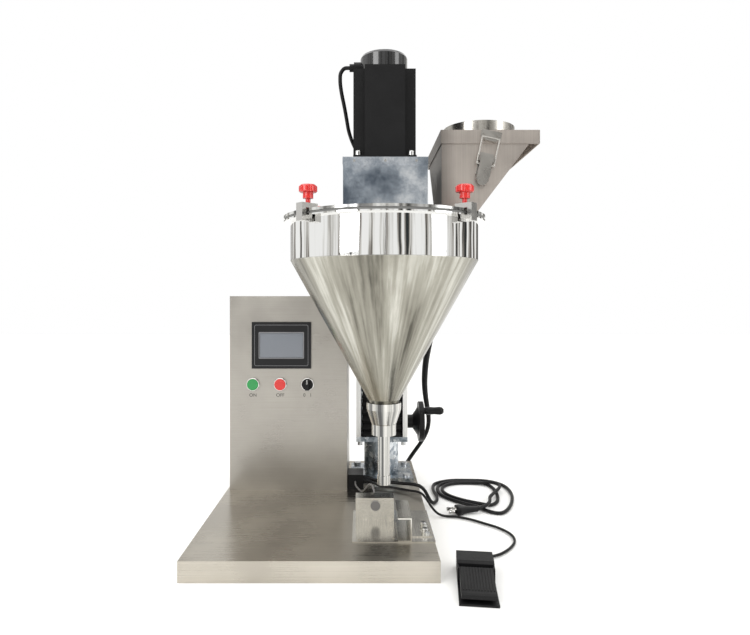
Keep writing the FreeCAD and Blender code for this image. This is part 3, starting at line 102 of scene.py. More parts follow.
def ramp(tree, fac, stops):
    """A colour ramp from (position, grey or colour) stops."""
    made = add(tree, "ShaderNodeValToRGB", Fac=fac)
    points = made.color_ramp.elements
    while len(points) < len(stops):
        points.new(0.5)
    for point, (position, colour) in zip(points, stops):
        point.position = position
        if isinstance(colour, (int, float)):
            colour = (colour, colour, colour)
        point.color = (*colour, 1)
    return made.outputs[0]


# %% The room that the steel reflects
bpy.context.scene.view_settings.view_transform = "Standard"
world = bpy.data.worlds.new("room")
bpy.context.scene.world = world
world.use_nodes = True
room = world.node_tree
direction = add(room, "ShaderNodeTexCoord").outputs["Generated"]
split = add(room, "ShaderNodeSeparateXYZ", Vector=direction)
bearing = maths(room, "ARCTAN2", split.outputs["X"], split.outputs["Y"])
tall = add(room, "ShaderNodeCombineXYZ", X=maths(room, "MULTIPLY", bearing, 5.2),
           Y=maths(room, "MULTIPLY", split.outputs["Z"], 0.9), Z=4.0).outputs[0]
bars = add(room, "ShaderNodeTexNoise", Vector=tall, Scale=1.6, Detail=3.0, Roughness=0.55)
bar_grey = ramp(room, bars.outputs["Fac"], [(0.37, (0.03, 0.035, 0.035)), (0.43, (0.22, 0.20, 0.18)),
                                            (0.48, (0.66, 0.65, 0.62)), (0.54, (0.95, 0.95, 0.94))])
height = add(room, "ShaderNodeMapRange", Value=split.outputs["Z"], From_Min=0.25,
             From_Max=0.75).outputs[0]
walls = add(room, "ShaderNodeMix", {"data_type": "RGBA"}, Factor=height, A=bar_grey,
            B=(1.0, 0.99, 0.97, 1)).outputs["Result"]
low = add(room, "ShaderNodeMapRange", Value=split.outputs["Z"], From_Min=-0.05,
          From_Max=-0.35).outputs[0]
ground = add(room, "ShaderNodeMix", {"data_type": "RGBA"}, Factor=low, A=walls,
             B=(0.62, 0.60, 0.57, 1)).outputs["Result"]
seen = add(room, "ShaderNodeLightPath").outputs["Is Camera Ray"]
shown = add(room, "ShaderNodeMix", {"data_type": "RGBA"}, Factor=seen, A=ground,
            B=(1, 1, 1, 1)).outputs["Result"]
background = room.nodes["Background"]
room.links.new(shown, background.inputs["Color"])
background.inputs["Strength"].default_value = 1.0
print("room nodes:", len(room.nodes))

# %% [markdown]
# The floor is a plain pale sheet, and the light comes from three large soft panels: one
# overhead, one from the front left and a weaker one from the right. Large panels give the
# brushed faces their slow gradients.


# %% Floor and soft panels
def plain_material(name, colour, roughness):
    material = bpy.data.materials.new(name)
    material.use_nodes = True
    shader = material.node_tree.nodes["Principled BSDF"]
    shader.inputs["Base Color"].default_value = (*colour, 1)
    shader.inputs["Roughness"].default_value = roughness
    return material


floor_mesh = bpy.data.meshes.new("floor")
floor_half = 6.0
floor_mesh.from_pydata([(-floor_half, -floor_half, -0.0005), (floor_half, -floor_half, -0.0005),
                        (floor_half, floor_half, -0.0005), (-floor_half, floor_half, -0.0005)],
                       [], [(0, 1, 2, 3)])
floor = bpy.data.objects.new("floor", floor_mesh)
bpy.context.scene.collection.objects.link(floor)
floor_mesh.materials.append(plain_material("pale_floor", (0.93, 0.93, 0.92), 0.7))


def panel(name, place, aim, across, up, power):
    """A soft light panel that faces a point."""
    light = bpy.data.lights.new(name, "AREA")
    light.shape = "RECTANGLE"
    light.size = across
    light.size_y = up
    light.energy = power
    made = bpy.data.objects.new(name, light)
    bpy.context.scene.collection.objects.link(made)
    made.location = place
    made.rotation_euler = (Vector(aim) - Vector(place)).to_track_quat("-Z", "Y").to_euler()


panel("panel_above", (0.0, -0.2, 2.6), (0.0, 0.0, 0.2), 2.4, 2.4, 14)
panel("panel_front_left", (-1.7, -2.2, 1.5), (0.05, 0.0, 0.4), 1.2, 1.6, 30)
panel("panel_right", (2.2, -1.2, 1.2), (0.1, 0.0, 0.4), 0.8, 1.6, 14)
sky_data = bpy.data.lights.new("wide_soft_sky", "SUN")
sky_data.energy = 1.1
sky_data.angle = math.radians(120)
sky = bpy.data.objects.new("wide_soft_sky", sky_data)
bpy.context.scene.collection.objects.link(sky)
print("lights:", [light.name for light in bpy.data.lights if light.users])

# %% [markdown]
# Brushed stainless: fine parallel scratches, slightly uneven gloss and faint smears. The
# scratches are noise squeezed a few hundred times along one direction. They colour the
# steel a little, vary its roughness and tilt its surface; the last is what makes a
# highlight spread across the grain.


# %% Brushed steel
def begin(name, metallic, roughness, colour):
    """A new material with its tree, its shader and the object's own coordinates."""
    material = bpy.data.materials.new(name)
    material.use_nodes = True
    tree = material.node_tree
    shader = tree.nodes["Principled BSDF"]
    shader.inputs["Metallic"].default_value = metallic
    shader.inputs["Roughness"].default_value = roughness
    shader.inputs["Base Color"].default_value = (*colour, 1)
    where = add(tree, "ShaderNodeTexCoord").outputs["Object"]
    return material, tree, shader, where


def bump(tree, shader, height, strength, distance):
    made = add(tree, "ShaderNodeBump", Height=height, Strength=strength, Distance=distance)
    tree.links.new(made.outputs[0], shader.inputs["Normal"])


def noise(tree, where, scale, detail=4.0, stretch=(1, 1, 1), roughness=0.5):
    moved = add(tree, "ShaderNodeMapping", Vector=where, Scale=stretch).outputs[0]
    return add(tree, "ShaderNodeTexNoise", Vector=moved, Scale=scale, Detail=detail,
               Roughness=roughness).outputs["Fac"]


def brushed(name, light, dark, grain, rough=(0.26, 0.40), smear=7.0, lift=0.12):
    """Steel brushed along the axis whose grain factor is small."""
    material, tree, shader, where = begin(name, 1.0, 0.3, light)
    lines = noise(tree, where, 1.0, 3.0, grain)
    clouds = noise(tree, where, smear, 5.0)
    mixed = maths(tree, "ADD", maths(tree, "MULTIPLY", lines, 0.3),
                  maths(tree, "MULTIPLY", clouds, 0.7))
    tree.links.new(ramp(tree, mixed, [(0.38, dark), (0.62, light)]), shader.inputs["Base Color"])
    gloss = add(tree, "ShaderNodeMapRange", Value=mixed, From_Min=0.35, From_Max=0.65,
                To_Min=rough[0], To_Max=rough[1]).outputs[0]
    tree.links.new(gloss, shader.inputs["Roughness"])
    bump(tree, shader, lines, lift, 0.0004)
    return material


ALONG_X = (6, 900, 900)
ALONG_Y = (900, 6, 900)
ALONG_Z = (900, 900, 6)
WARM = (0.41, 0.39, 0.355)
WARM_DARK = (0.33, 0.312, 0.285)
cabinet_steel = brushed("brushed_cabinet_steel", WARM, WARM_DARK, ALONG_X)
base_steel = brushed("brushed_base_steel", (0.55, 0.515, 0.45), (0.42, 0.39, 0.34), ALONG_X,
                     rough=(0.22, 0.36))
chute_steel = brushed("brushed_chute_steel", (0.50, 0.455, 0.415), (0.38, 0.345, 0.315), ALONG_Z,
                      rough=(0.36, 0.48))
bracket_steel = brushed("bright_bracket_steel", (0.80, 0.78, 0.72), (0.42, 0.40, 0.37), ALONG_Y,
                        rough=(0.14, 0.26))

# %% [markdown]
# The chute slants away on its left, and that face stands in its own shade. The steel is
# darkened from one X to another, on top of the brushed colour it already has.

# %% Shade on the chute
chute_dark_x, chute_light_x = 0.222, 0.252
tree = chute_steel.node_tree
shader = tree.nodes["Principled BSDF"]
across = add(tree, "ShaderNodeSeparateXYZ",
             Vector=add(tree, "ShaderNodeTexCoord").outputs["Object"]).outputs["X"]
shade = add(tree, "ShaderNodeMapRange", Value=across, From_Min=chute_dark_x, From_Max=chute_light_x,
            To_Min=0.42, To_Max=1.0).outputs[0]
plain = shader.inputs["Base Color"].links[0].from_socket
darkened = add(tree, "ShaderNodeMix", {"data_type": "RGBA", "blend_type": "MULTIPLY"}, Factor=1.0,
               A=plain, B=add(tree, "ShaderNodeCombineXYZ", X=shade, Y=shade, Z=shade).outputs[0])
tree.links.new(darkened.outputs["Result"], shader.inputs["Base Color"])
print("chute shaded from", chute_dark_x, "to", chute_light_x)

# %% [markdown]
# The hopper is one pressing with two finishes: its upright band is polished like a mirror,
# and the cone below is only satin. The cone's colour holds faint stains and a painted
# reflection: tall dark and light bars that run down towards the neck, as the room would
# show in the steel. One material serves both, with the height choosing between them. The
# runs follow the cone by using the angle round the axis and the height, in place of X and Y.


# %% Hopper steel
def round_axis(tree, where, centre, turns, rise):
    """Coordinates that wrap round an upright axis: angle across, height up."""
    moved = add(tree, "ShaderNodeMapping", {"vector_type": "POINT"}, Vector=where,
                Location=(-centre.x, -centre.y, 0)).outputs[0]
    part = add(tree, "ShaderNodeSeparateXYZ", Vector=moved)
    angle = maths(tree, "ARCTAN2", part.outputs["X"], part.outputs["Y"])
    wrapped = add(tree, "ShaderNodeCombineXYZ", X=maths(tree, "SINE", angle),
                  Y=maths(tree, "COSINE", angle),
                  Z=maths(tree, "MULTIPLY", part.outputs["Z"], rise)).outputs[0]
    stretched = add(tree, "ShaderNodeMapping", Vector=wrapped, Scale=(turns, turns, 1)).outputs[0]
    return stretched, part.outputs["Z"]


hopper_steel, tree, shader, where = begin("hopper_steel", 1.0, 0.1, (0.8, 0.79, 0.77))
wrapped, up = round_axis(tree, where, auger_axis, 2.4, 3.5)
runs = add(tree, "ShaderNodeTexNoise", Vector=wrapped, Scale=1.0, Detail=6.0, Roughness=0.6).outputs["Fac"]
fine, up = round_axis(tree, where, auger_axis, 16.0, 5.0)
fine_runs = add(tree, "ShaderNodeTexNoise", Vector=fine, Scale=1.0, Detail=3.0).outputs["Fac"]
stain_and_reflection = maths(tree, "ADD", maths(tree, "MULTIPLY", runs, 0.7), maths(tree, "MULTIPLY", fine_runs, 0.3))
# Painted reflection and stains: the cone's tint runs from near black to light in tall bars round the axis.
cone_stain_and_reflection_tint = ramp(tree, stain_and_reflection, [(0.38, (0.10, 0.095, 0.08)), (0.46, (0.24, 0.23, 0.195)),
                               (0.55, (0.34, 0.33, 0.285)), (0.64, (0.56, 0.55, 0.50))])
on_band = add(tree, "ShaderNodeMapRange", Value=up, From_Min=0.5245, From_Max=0.5262).outputs[0]
tint = add(tree, "ShaderNodeMix", {"data_type": "RGBA"}, Factor=on_band, A=cone_stain_and_reflection_tint,
           B=(0.86, 0.86, 0.85, 1)).outputs["Result"]
tree.links.new(tint, shader.inputs["Base Color"])
cone_rough = add(tree, "ShaderNodeMapRange", Value=stain_and_reflection, From_Min=0.35, From_Max=0.65,
                 To_Min=0.19, To_Max=0.27).outputs[0]
gloss = add(tree, "ShaderNodeMix", {"data_type": "FLOAT"}, Factor=on_band, A=cone_rough,
            B=0.035).outputs["Result"]
tree.links.new(gloss, shader.inputs["Roughness"])
waves = noise(tree, where, 9.0, 2.0)
bump(tree, shader, waves, 0.25, 0.004)
print("hopper steel nodes:", len(tree.nodes))

# %% [markdown]
# The other bright parts: the clamps and the latch are polished but handled, so their gloss
# is broken by faint smears. The lid, the neck and the tube are round, and their colour
# holds a painted reflection: light and dark bars all the way round their axis, as the room
# would show in them. The drive box is bright sheet with a cloudy blue-grey bloom, which
# two sizes of noise make.


# %% Polished and cloudy steel
def polished(name, colour, rough, wave):
    material, tree, shader, where = begin(name, 1.0, rough, colour)
    smears = noise(tree, where, 18.0, 6.0, roughness=0.6)
    gloss = add(tree, "ShaderNodeMapRange", Value=smears, From_Min=0.3, From_Max=0.7,
                To_Min=rough * 0.6, To_Max=rough * 1.8).outputs[0]
    tree.links.new(gloss, shader.inputs["Roughness"])
    tint = ramp(tree, smears, [(0.3, tuple(c * 0.88 for c in colour)), (0.7, colour)])
    tree.links.new(tint, shader.inputs["Base Color"])
    bump(tree, shader, noise(tree, where, wave, 2.0), 0.15, 0.002)
    return material


def round_with_painted_reflections(name, centre, stops, turns, rough):
    """Round polished steel with a painted reflection: light and dark bars are painted into its colour all
    the way round its axis.
    """
    material, tree, shader, where = begin(name, 1.0, rough, stops[-1][1])
    wrapped, up = round_axis(tree, where, centre, turns, 1.2)
    # Painted reflection: these bars go into the base colour in place of the room the steel would reflect.
    bars = add(tree, "ShaderNodeTexNoise", Vector=wrapped, Scale=1.0, Detail=3.0,
               Roughness=0.55).outputs["Fac"]
    tree.links.new(ramp(tree, bars, stops), shader.inputs["Base Color"])
    bump(tree, shader, noise(tree, where, 40.0, 2.0), 0.1, 0.001)
    return material


tube_steel = round_with_painted_reflections("tube_steel_painted_reflections", auger_axis, [(0.40, (0.10, 0.10, 0.10)),
                    (0.47, (0.30, 0.30, 0.29)), (0.55, (0.55, 0.54, 0.51)), (0.62, (0.80, 0.79, 0.76))],
                    2.3, 0.2)
lid_steel = round_with_painted_reflections("lid_steel_painted_reflections", auger_axis, [(0.36, (0.14, 0.14, 0.14)),
                   (0.46, (0.45, 0.45, 0.44)), (0.56, (0.78, 0.78, 0.76))], 5.0, 0.12)
bright_steel = polished("bright_steel", (0.62, 0.61, 0.59), 0.13, 14.0)
latch_steel = polished("latch_steel", (0.40, 0.385, 0.36), 0.24, 30.0)
neck_steel = polished("neck_steel", (0.50, 0.48, 0.44), 0.2, 30.0)
zinc_steel = polished("zinc_plate", (0.60, 0.61, 0.62), 0.28, 40.0)

box_sheet, tree, shader, where = begin("cloudy_box_sheet", 1.0, 0.15, (0.7, 0.74, 0.78))
cloud = noise(tree, where, 16.0, 8.0, (1, 1, 1), 0.65)
patch = noise(tree, where, 5.0, 3.0, (1, 1, 0.8), 0.5)
bloom = maths(tree, "ADD", maths(tree, "MULTIPLY", cloud, 0.5), maths(tree, "MULTIPLY", patch, 0.5))
tree.links.new(ramp(tree, bloom, [(0.42, (0.11, 0.135, 0.17)), (0.49, (0.33, 0.375, 0.43)),
                                  (0.55, (0.62, 0.66, 0.71)), (0.62, (0.88, 0.90, 0.92))]),
               shader.inputs["Base Color"])
gloss = add(tree, "ShaderNodeMapRange", Value=bloom, From_Min=0.4, From_Max=0.6,
            To_Min=0.26, To_Max=0.12).outputs[0]
tree.links.new(gloss, shader.inputs["Roughness"])
bump(tree, shader, cloud, 0.12, 0.001)
print("steels:", [m.name for m in bpy.data.materials if "steel" in m.name])

# %% [markdown]
# Paint, plastic, rubber and cloth share one recipe: a base colour that drifts a little, a
# roughness that drifts more, and a fine grain in the surface. Only the numbers differ.


# %% Plastics, paint, rubber and cloth
def moulded(name, colour, rough, grain=900.0, lift=0.05, coat=0.0, drift=0.12, shine=0.5):
    material, tree, shader, where = begin(name, 0.0, rough, colour)
    clouds = noise(tree, where, 22.0, 5.0)
    darker = tuple(c * (1 - drift) for c in colour)
    tree.links.new(ramp(tree, clouds, [(0.35, darker), (0.65, colour)]), shader.inputs["Base Color"])
    gloss = add(tree, "ShaderNodeMapRange", Value=clouds, From_Min=0.3, From_Max=0.7,
                To_Min=rough * 0.85, To_Max=rough * 1.15).outputs[0]
    tree.links.new(gloss, shader.inputs["Roughness"])
    shader.inputs["Specular IOR Level"].default_value = shine
    shader.inputs["Coat Weight"].default_value = coat
    shader.inputs["Coat Roughness"].default_value = 0.08
    bump(tree, shader, noise(tree, where, grain, 2.0), lift, 0.0006)
    return material


motor_paint = moulded("motor_paint", (0.006, 0.006, 0.0065), 0.34, 1500.0, 0.25, shine=0.22)
cap_plastic = moulded("encoder_cap_plastic", (0.006, 0.006, 0.007), 0.14, 200.0, 0.02, coat=0.6)
black_plastic = moulded("black_plastic", (0.006, 0.006, 0.0065), 0.36, 1200.0, 0.2, shine=0.22)
pedal_plastic = moulded("pedal_plastic", (0.006, 0.006, 0.0065), 0.42, 1400.0, 0.3, shine=0.22)
red_plastic = moulded("red_plastic", (0.62, 0.018, 0.014), 0.26, 400.0, 0.05, coat=0.3)
green_plastic = moulded("green_plastic", (0.006, 0.27, 0.055), 0.26, 400.0, 0.05, coat=0.3)
screen_plastic = moulded("screen_housing_plastic", (0.012, 0.012, 0.013), 0.33, 1600.0, 0.15, shine=0.22)
cord_rubber = moulded("cord_rubber", (0.006, 0.006, 0.0065), 0.40, 600.0, 0.15, shine=0.22)
lead_rubber = moulded("lead_rubber", (0.16, 0.155, 0.15), 0.45, 600.0, 0.1)
harness_sleeve = moulded("harness_sleeve", (0.006, 0.006, 0.0065), 0.45, 1500.0, 0.4, shine=0.22)
bellows_cloth = moulded("bellows_cloth", (0.006, 0.006, 0.0065), 0.52, 1100.0, 0.5, shine=0.22)
gasket_rubber = moulded("gasket_silicone", (0.16, 0.16, 0.155), 0.45, 300.0, 0.05)
white_mark = moulded("white_mark", (0.80, 0.80, 0.78), 0.5, 200.0, 0.0)

screen_glass, tree, shader, where = begin("screen_glass", 0.0, 0.16, (0.12, 0.135, 0.16))
# Painted sheen: the glass is coloured lighter towards its top, as if it reflected a brighter room above.
glass_height_for_painted_sheen = add(tree, "ShaderNodeSeparateXYZ", Vector=where).outputs["Z"]
tree.links.new(ramp(tree, maths(tree, "MULTIPLY_ADD", glass_height_for_painted_sheen, 14.0), [(0.0, (0.115, 0.125, 0.145)),
                                                                  (1.0, (0.16, 0.175, 0.20))]),
               shader.inputs["Base Color"])
shader.inputs["Coat Weight"].default_value = 0.5

light_aluminium, tree, shader, where = begin("light_aluminium", 1.0, 0.36, (0.74, 0.74, 0.73))
drawn = noise(tree, where, 1.0, 3.0, (500, 500, 4))
tree.links.new(ramp(tree, drawn, [(0.35, (0.62, 0.62, 0.61)), (0.65, (0.78, 0.78, 0.77))]),
               shader.inputs["Base Color"])
bump(tree, shader, drawn, 0.1, 0.0003)

galvanised, tree, shader, where = begin("galvanised_plate", 1.0, 0.3, (0.55, 0.58, 0.61))
flakes = add(tree, "ShaderNodeTexVoronoi", Vector=where, Scale=110.0).outputs["Color"]
flake = add(tree, "ShaderNodeSeparateColor", Color=flakes).outputs[0]
haze = noise(tree, where, 12.0, 6.0)
mixed = maths(tree, "ADD", maths(tree, "MULTIPLY", flake, 0.35), maths(tree, "MULTIPLY", haze, 0.65))
tree.links.new(ramp(tree, mixed, [(0.32, (0.19, 0.22, 0.25)), (0.50, (0.38, 0.42, 0.46)),
                                  (0.66, (0.66, 0.69, 0.71))]), shader.inputs["Base Color"])
tree.links.new(add(tree, "ShaderNodeMapRange", Value=mixed, From_Min=0.3, From_Max=0.7,
                   To_Min=0.38, To_Max=0.2).outputs[0], shader.inputs["Roughness"])

# %% [markdown]
# Every CAD node carries one named slot. A table says which finish each node wears.

# %% Dress the CAD parts
finish = {
    cabinet_steel: ["cabinet_shell", "cabinet_rear_cover", "cabinet_inner_panel"],
    base_steel: ["base_tray", "base_bottom_plate"],
    chute_steel: ["inlet_chute", "chute_cover", "support_arm"],
    bracket_steel: ["container_rest", "side_stop", "sensor_box"],
    hopper_steel: ["hopper_band", "hopper_cone"],
    bright_steel: ["lid_clamps", "auger_screw", "stirrer", "lead_screw",
                   "button_collars_and_contacts", "power_plug"],
    lid_steel: ["hopper_lid"],
    tube_steel: ["filling_tube", "neck_collar"],
    latch_steel: ["latch_bail", "latch_lever", "latch_keeper_and_base"],
    neck_steel: ["motor_shaft_and_coupling", "inlet_collar"],
    zinc_steel: ["base_fasteners"],
    box_sheet: ["drive_box", "drive_box_cover"],
    galvanised: ["pedestal", "column_plates", "carriage_and_nut", "right_angle_gearbox"],
    light_aluminium: ["column_rails_and_rods"],
    motor_paint: ["motor"],
    cap_plastic: ["motor_encoder_cap"],
    black_plastic: ["handwheel", "handwheel_grip", "selector_knob", "cable_entry_box"],
    pedal_plastic: ["foot_pedal_base", "foot_pedal_tread"],
    red_plastic: ["clamp_knob_1", "clamp_knob_2", "clamp_knob_3", "clamp_knob_4", "stop_button"],
    green_plastic: ["start_button"],
    screen_plastic: ["touch_screen_housing"],
    screen_glass: ["touch_screen_glass"],
    cord_rubber: ["motor_cable", "pedal_cord", "power_cord", "power_coil"],
    harness_sleeve: ["lift_harness"],
    bellows_cloth: ["lower_bellows", "upper_bellows"],
    gasket_rubber: ["lid_gasket"],
    lead_rubber: ["product_sensor"],
}
dressed = 0
for material, names in finish.items():
    for name in names:
        for slot in nodes[name].material_slots:
            slot.material = material
        dressed += 1
print("nodes dressed:", dressed, "of", len(nodes), set(nodes) - {n for v in finish.values() for n in v})


# %% [markdown]
# The lift column is closed by two folded bellows, one under the carriage and one above it.
# Each is a stack of pleats: the section zigzags in and out as it climbs. A short tool
# makes a pleated sheet box from its limits and its number of folds.


# %% Bellows
def new_piece(name, mesh, material, smooth=True):
    made = bpy.data.objects.new(name, mesh)
    bpy.context.scene.collection.objects.link(made)
    mesh.materials.append(material)
    for face in mesh.polygons:
        face.use_smooth = smooth
    return made


def pleated(name, limits, folds, depth, material):
    """A closed block whose four sides are folded like a camera's bellows."""
    low, high = limits
    mesh = bmesh.new()
    rings = []
    steps = folds * 4
    for step in range(steps + 1):
        phase = step / 4 - math.floor(step / 4)
        inward = depth * (1 - math.cos(2 * math.pi * phase)) / 2
        z = low.z + (high.z - low.z) * step / steps
        x0, x1 = low.x + inward * 0.4, high.x - inward * 0.4
        y0, y1 = low.y + inward, high.y - inward * 0.2
        rings.append([mesh.verts.new(p) for p in ((x0, y0, z), (x1, y0, z), (x1, y1, z),
                                                 (x0, y1, z))])
    for below, above in zip(rings, rings[1:]):
        for i in range(4):
            j = (i + 1) % 4
            mesh.faces.new((below[i], below[j], above[j], above[i]))
    mesh.faces.new(rings[0][::-1])
    mesh.faces.new(rings[-1])
    data = bpy.data.meshes.new(name)
    mesh.to_mesh(data)
    mesh.free()
    return new_piece(name, data, material, smooth=False)


lower_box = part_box("lower_bellows")
upper_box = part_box("upper_bellows")
lower_pleats = pleated("lower_pleats", lower_box, 16, 0.007, bellows_cloth)
upper_pleats = pleated("upper_pleats", upper_box, 12, 0.007, bellows_cloth)
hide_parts("lower_bellows")
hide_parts("upper_bellows")
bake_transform(lower_pleats)
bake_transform(upper_pleats)
print("bellows", lower_box, upper_box)

# %% [markdown]
# Cords are curves, not meshes: one smooth spline through chosen points, with a round
# section. The curve is a third-order NURBS, so it passes close to its points and never
# kinks. The points are in metres, and lie on the floor wherever nothing holds the cord up.


# %% Cord tool
def cord_curve(name, points, radius, material, widths=None):
    curve = bpy.data.curves.new(name, "CURVE")
    curve.dimensions = "3D"
    curve.bevel_depth = 1.0
    curve.bevel_resolution = 4
    curve.resolution_u = 8
    curve.use_fill_caps = True
    spline = curve.splines.new("NURBS")
    spline.points.add(len(points) - 1)
    for number, (target, point) in enumerate(zip(spline.points, points)):
        target.co = (*point, 1)
        target.radius = radius * (widths[number] if widths else 1.0)
    spline.order_u = 3
    spline.use_endpoint_u = True
    curve.materials.append(material)
    made = bpy.data.objects.new(name, curve)
    bpy.context.scene.collection.objects.link(made)
    return made


# %% [markdown]
# The pedal's cord leaves the side box, runs forward over the base's edge and drops to the
# floor, where it swings wide to the right and comes back into the pedal's rear face.

# %% Pedal cord
pedal_radius = 0.0025
PEDAL_POINTS = [(88.3, 80, 50), (99, 80, 50), (111, 77, 45), (125, 72, 40.5), (142, 66, 41.5),
                (158, 58, 40.5), (174, 48, 41), (190, 35, 42), (203, 22, 44.5), (213, 12, 43),
                (221, 5, 34), (229, 0, 22), (238, -4, 11), (248, -8, 5), (262, -10, 3),
                (280, -12, 3.4), (298, -20, 3), (315, -33, 3.2), (333, -50, 3), (350, -66, 3.3),
                (364, -84, 3), (372, -104, 3.2), (374, -124, 3), (369, -145, 3.3),
                (359, -163, 3), (346, -180, 3.2), (331, -195, 3.4), (314, -206, 4),
                (298, -210, 6.5), (285, -214, 10), (277.2, -226, 12), (275.8, -237.9, 12)]
pedal_points = [tuple(v / 1000 for v in point) for point in PEDAL_POINTS]
pedal_lead = cord_curve("pedal_lead", pedal_points, pedal_radius, cord_rubber)
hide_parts("pedal_cord")
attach(pedal_lead, "base")

# %% [markdown]
# The mains lead lies in nearly three loose turns with its plug on the near side. The turns
# are chosen as anchor points: left side, far side, right side, near side, and again inside
# the last. A loop then puts two more points between each pair, so that every turn has
# enough points for the spline to stay round. Where the tail crosses the turns it rises
# by one diameter.

# %% Mains lead
lead_radius = 0.00375
POWER_POINTS = [(88.3, 98, 50), (101, 98, 50), (115, 98, 45), (131, 97, 42), (149, 93, 42.5),
                (166, 85, 43), (182, 75, 44.5), (197, 64, 47), (211, 54, 47), (222, 51, 38),
                (229, 52, 24), (236, 56, 11), (243, 64, 5), (249, 76, 4.2), (254, 90, 4.0)]
TURN_ANCHORS = [
    (256, 118, 3.9), (253, 160, 3.9), (262, 205, 3.9), (300, 231, 3.9), (345, 234, 3.9),
    (394, 228, 3.9), (425, 196, 3.9), (432, 150, 3.9), (425, 98, 3.9), (406, 44, 3.9),
    (382, 8, 3.9), (358, 14, 3.9), (337, 43, 3.9), (300, 76, 3.9), (272, 112, 3.9),
    (263, 150, 3.9), (272, 195, 3.9), (305, 220, 3.9), (345, 223, 3.9), (380, 215, 3.9),
    (396, 180, 3.9), (397, 130, 3.9), (388, 82, 3.9), (368, 56, 3.9), (345, 66, 3.9),
    (312, 88, 3.9), (284, 120, 3.9), (274, 155, 3.9), (283, 188, 3.9), (310, 209, 3.9),
    (345, 212, 3.9), (376, 206, 5.5), (401, 190, 12.2), (411, 165, 12.5), (402, 138, 12.5),
    (384, 110, 11), (371, 82, 12.5), (364, 52, 12.8), (354, 32, 12.6), (343, 22, 11.5)]


def between(anchors, parts):
    """Points on a smooth line through the anchors, several to each gap."""
    ends = [anchors[0]] + anchors + [anchors[-1]]
    line = []
    for p0, p1, p2, p3 in zip(ends, ends[1:], ends[2:], ends[3:]):
        for part in range(parts):
            t = part / parts
            line.append(tuple(0.5 * (2 * b + (c - a) * t + (2 * a - 5 * b + 4 * c - d) * t ** 2
                                     + (3 * b - a - 3 * c + d) * t ** 3)
                              for a, b, c, d in zip(p0, p1, p2, p3)))
    return line + [anchors[-1]]


turns = between(TURN_ANCHORS, 3)
power_points = [tuple(v / 1000 for v in point)
                for point in POWER_POINTS + turns + [(338, 19.2, 9.6), (332, 18, 9)]]
mains_lead = cord_curve("mains_lead", power_points, lead_radius, cord_rubber)
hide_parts("power_cord", "power_coil")
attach(mains_lead, "base")


def measured(curve):
    """The real length of a cord's middle line."""
    bevel = curve.data.bevel_depth
    curve.data.bevel_depth = 0.0
    graph = bpy.context.evaluated_depsgraph_get()
    line = curve.evaluated_get(graph).to_mesh()
    total = sum((line.vertices[e.vertices[0]].co - line.vertices[e.vertices[1]].co).length
                for e in line.edges)
    curve.evaluated_get(graph).to_mesh_clear()
    curve.data.bevel_depth = bevel
    return total


pedal_length = measured(pedal_lead)
mains_length = measured(mains_lead)
print("pedal cord", round(pedal_length, 3), "m; mains lead", round(mains_length, 3), "m")

# %% [markdown]
# Each cord leaves its housing through a tapered rubber sleeve, thick at the wall and thin
# at its tip, which is what stops a real cord from breaking there.

# %% Sleeves where cords leave
mains_sleeve = cord_curve("mains_sleeve", power_points[:2] + [(0.108, 0.098, 0.0478)], lead_radius,
                          cord_rubber, (1.9, 1.55, 1.15))
pedal_sleeve = cord_curve("pedal_sleeve", pedal_points[:2] + [(0.105, 0.0787, 0.0478)], pedal_radius,
                          cord_rubber, (2.1, 1.7, 1.2))
foot_sleeve = cord_curve("foot_sleeve", pedal_points[-3:][::-1], pedal_radius, cord_rubber,
                         (2.0, 1.6, 1.1))
for sleeve in (mains_sleeve, pedal_sleeve, foot_sleeve):
    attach(sleeve, "base")


# %% [markdown]
# The plug is a moulded body, waisted behind its three flat pins. It is lofted through
# rounded sections along its length, set where its CAD solid lies.

# %% Plug
def rounded_ring(mesh, frame_at, half_wide, half_high, along, corners=6):
    ring = []
    radius = min(half_wide, half_high) * 0.55
    for quarter, (sx, sz) in enumerate(((1, 1), (-1, 1), (-1, -1), (1, -1))):
        for step in range(corners):
            angle = math.pi / 2 * (quarter + step / (corners - 1))
            y = sx * (half_wide - radius) + radius * math.cos(angle)
            z = sz * (half_high - radius) + radius * math.sin(angle)
            ring.append(mesh.verts.new(frame_at @ Vector((along, y, z))))
    return ring


def lofted(name, frame_at, sections, material):
    """A closed form through rounded sections (along, half width, half height)."""
    mesh = bmesh.new()
    rings = [rounded_ring(mesh, frame_at, wide, high, along) for along, wide, high in sections]
    for below, above in zip(rings, rings[1:]):
        for i in range(len(below)):
            j = (i + 1) % len(below)
            mesh.faces.new((below[i], below[j], above[j], above[i]))
    mesh.faces.new(rings[0][::-1])
    mesh.faces.new(rings[-1])
    bmesh.ops.recalc_face_normals(mesh, faces=mesh.faces)
    data = bpy.data.meshes.new(name)
    mesh.to_mesh(data)
    mesh.free()
    return new_piece(name, data, material)


plug_frame = Matrix.Translation((0.333, 0.018, 0.009)) @ Matrix.Rotation(math.radians(190), 4, "Z")
plug_body = lofted("plug_body", plug_frame, [
    (0.0, 0.0042, 0.0042), (0.004, 0.0052, 0.0052), (0.026, 0.0068, 0.0066), (0.032, 0.0075, 0.0072),
    (0.039, 0.0118, 0.0085), (0.043, 0.0128, 0.0088), (0.049, 0.0128, 0.0088), (0.0502, 0.0115, 0.0075)],
    black_plastic)
pins_data = bpy.data.meshes.new("plug_pins")
pins = bmesh.new()
for y, z, wide, high, reach in ((-0.007, 0, 0.0016, 0.003, 0.068), (0.007, 0, 0.0016, 0.003, 0.068),
                                (0, 0.0045, 0.0024, 0.0016, 0.0695)):
    block = bmesh.ops.create_cube(pins, size=1)["verts"]
    for vert in block:
        x = 0.049 if vert.co.x < 0 else reach
        vert.co = plug_frame @ Vector((x, y + vert.co.y * 2 * wide, z + vert.co.z * 2 * high))
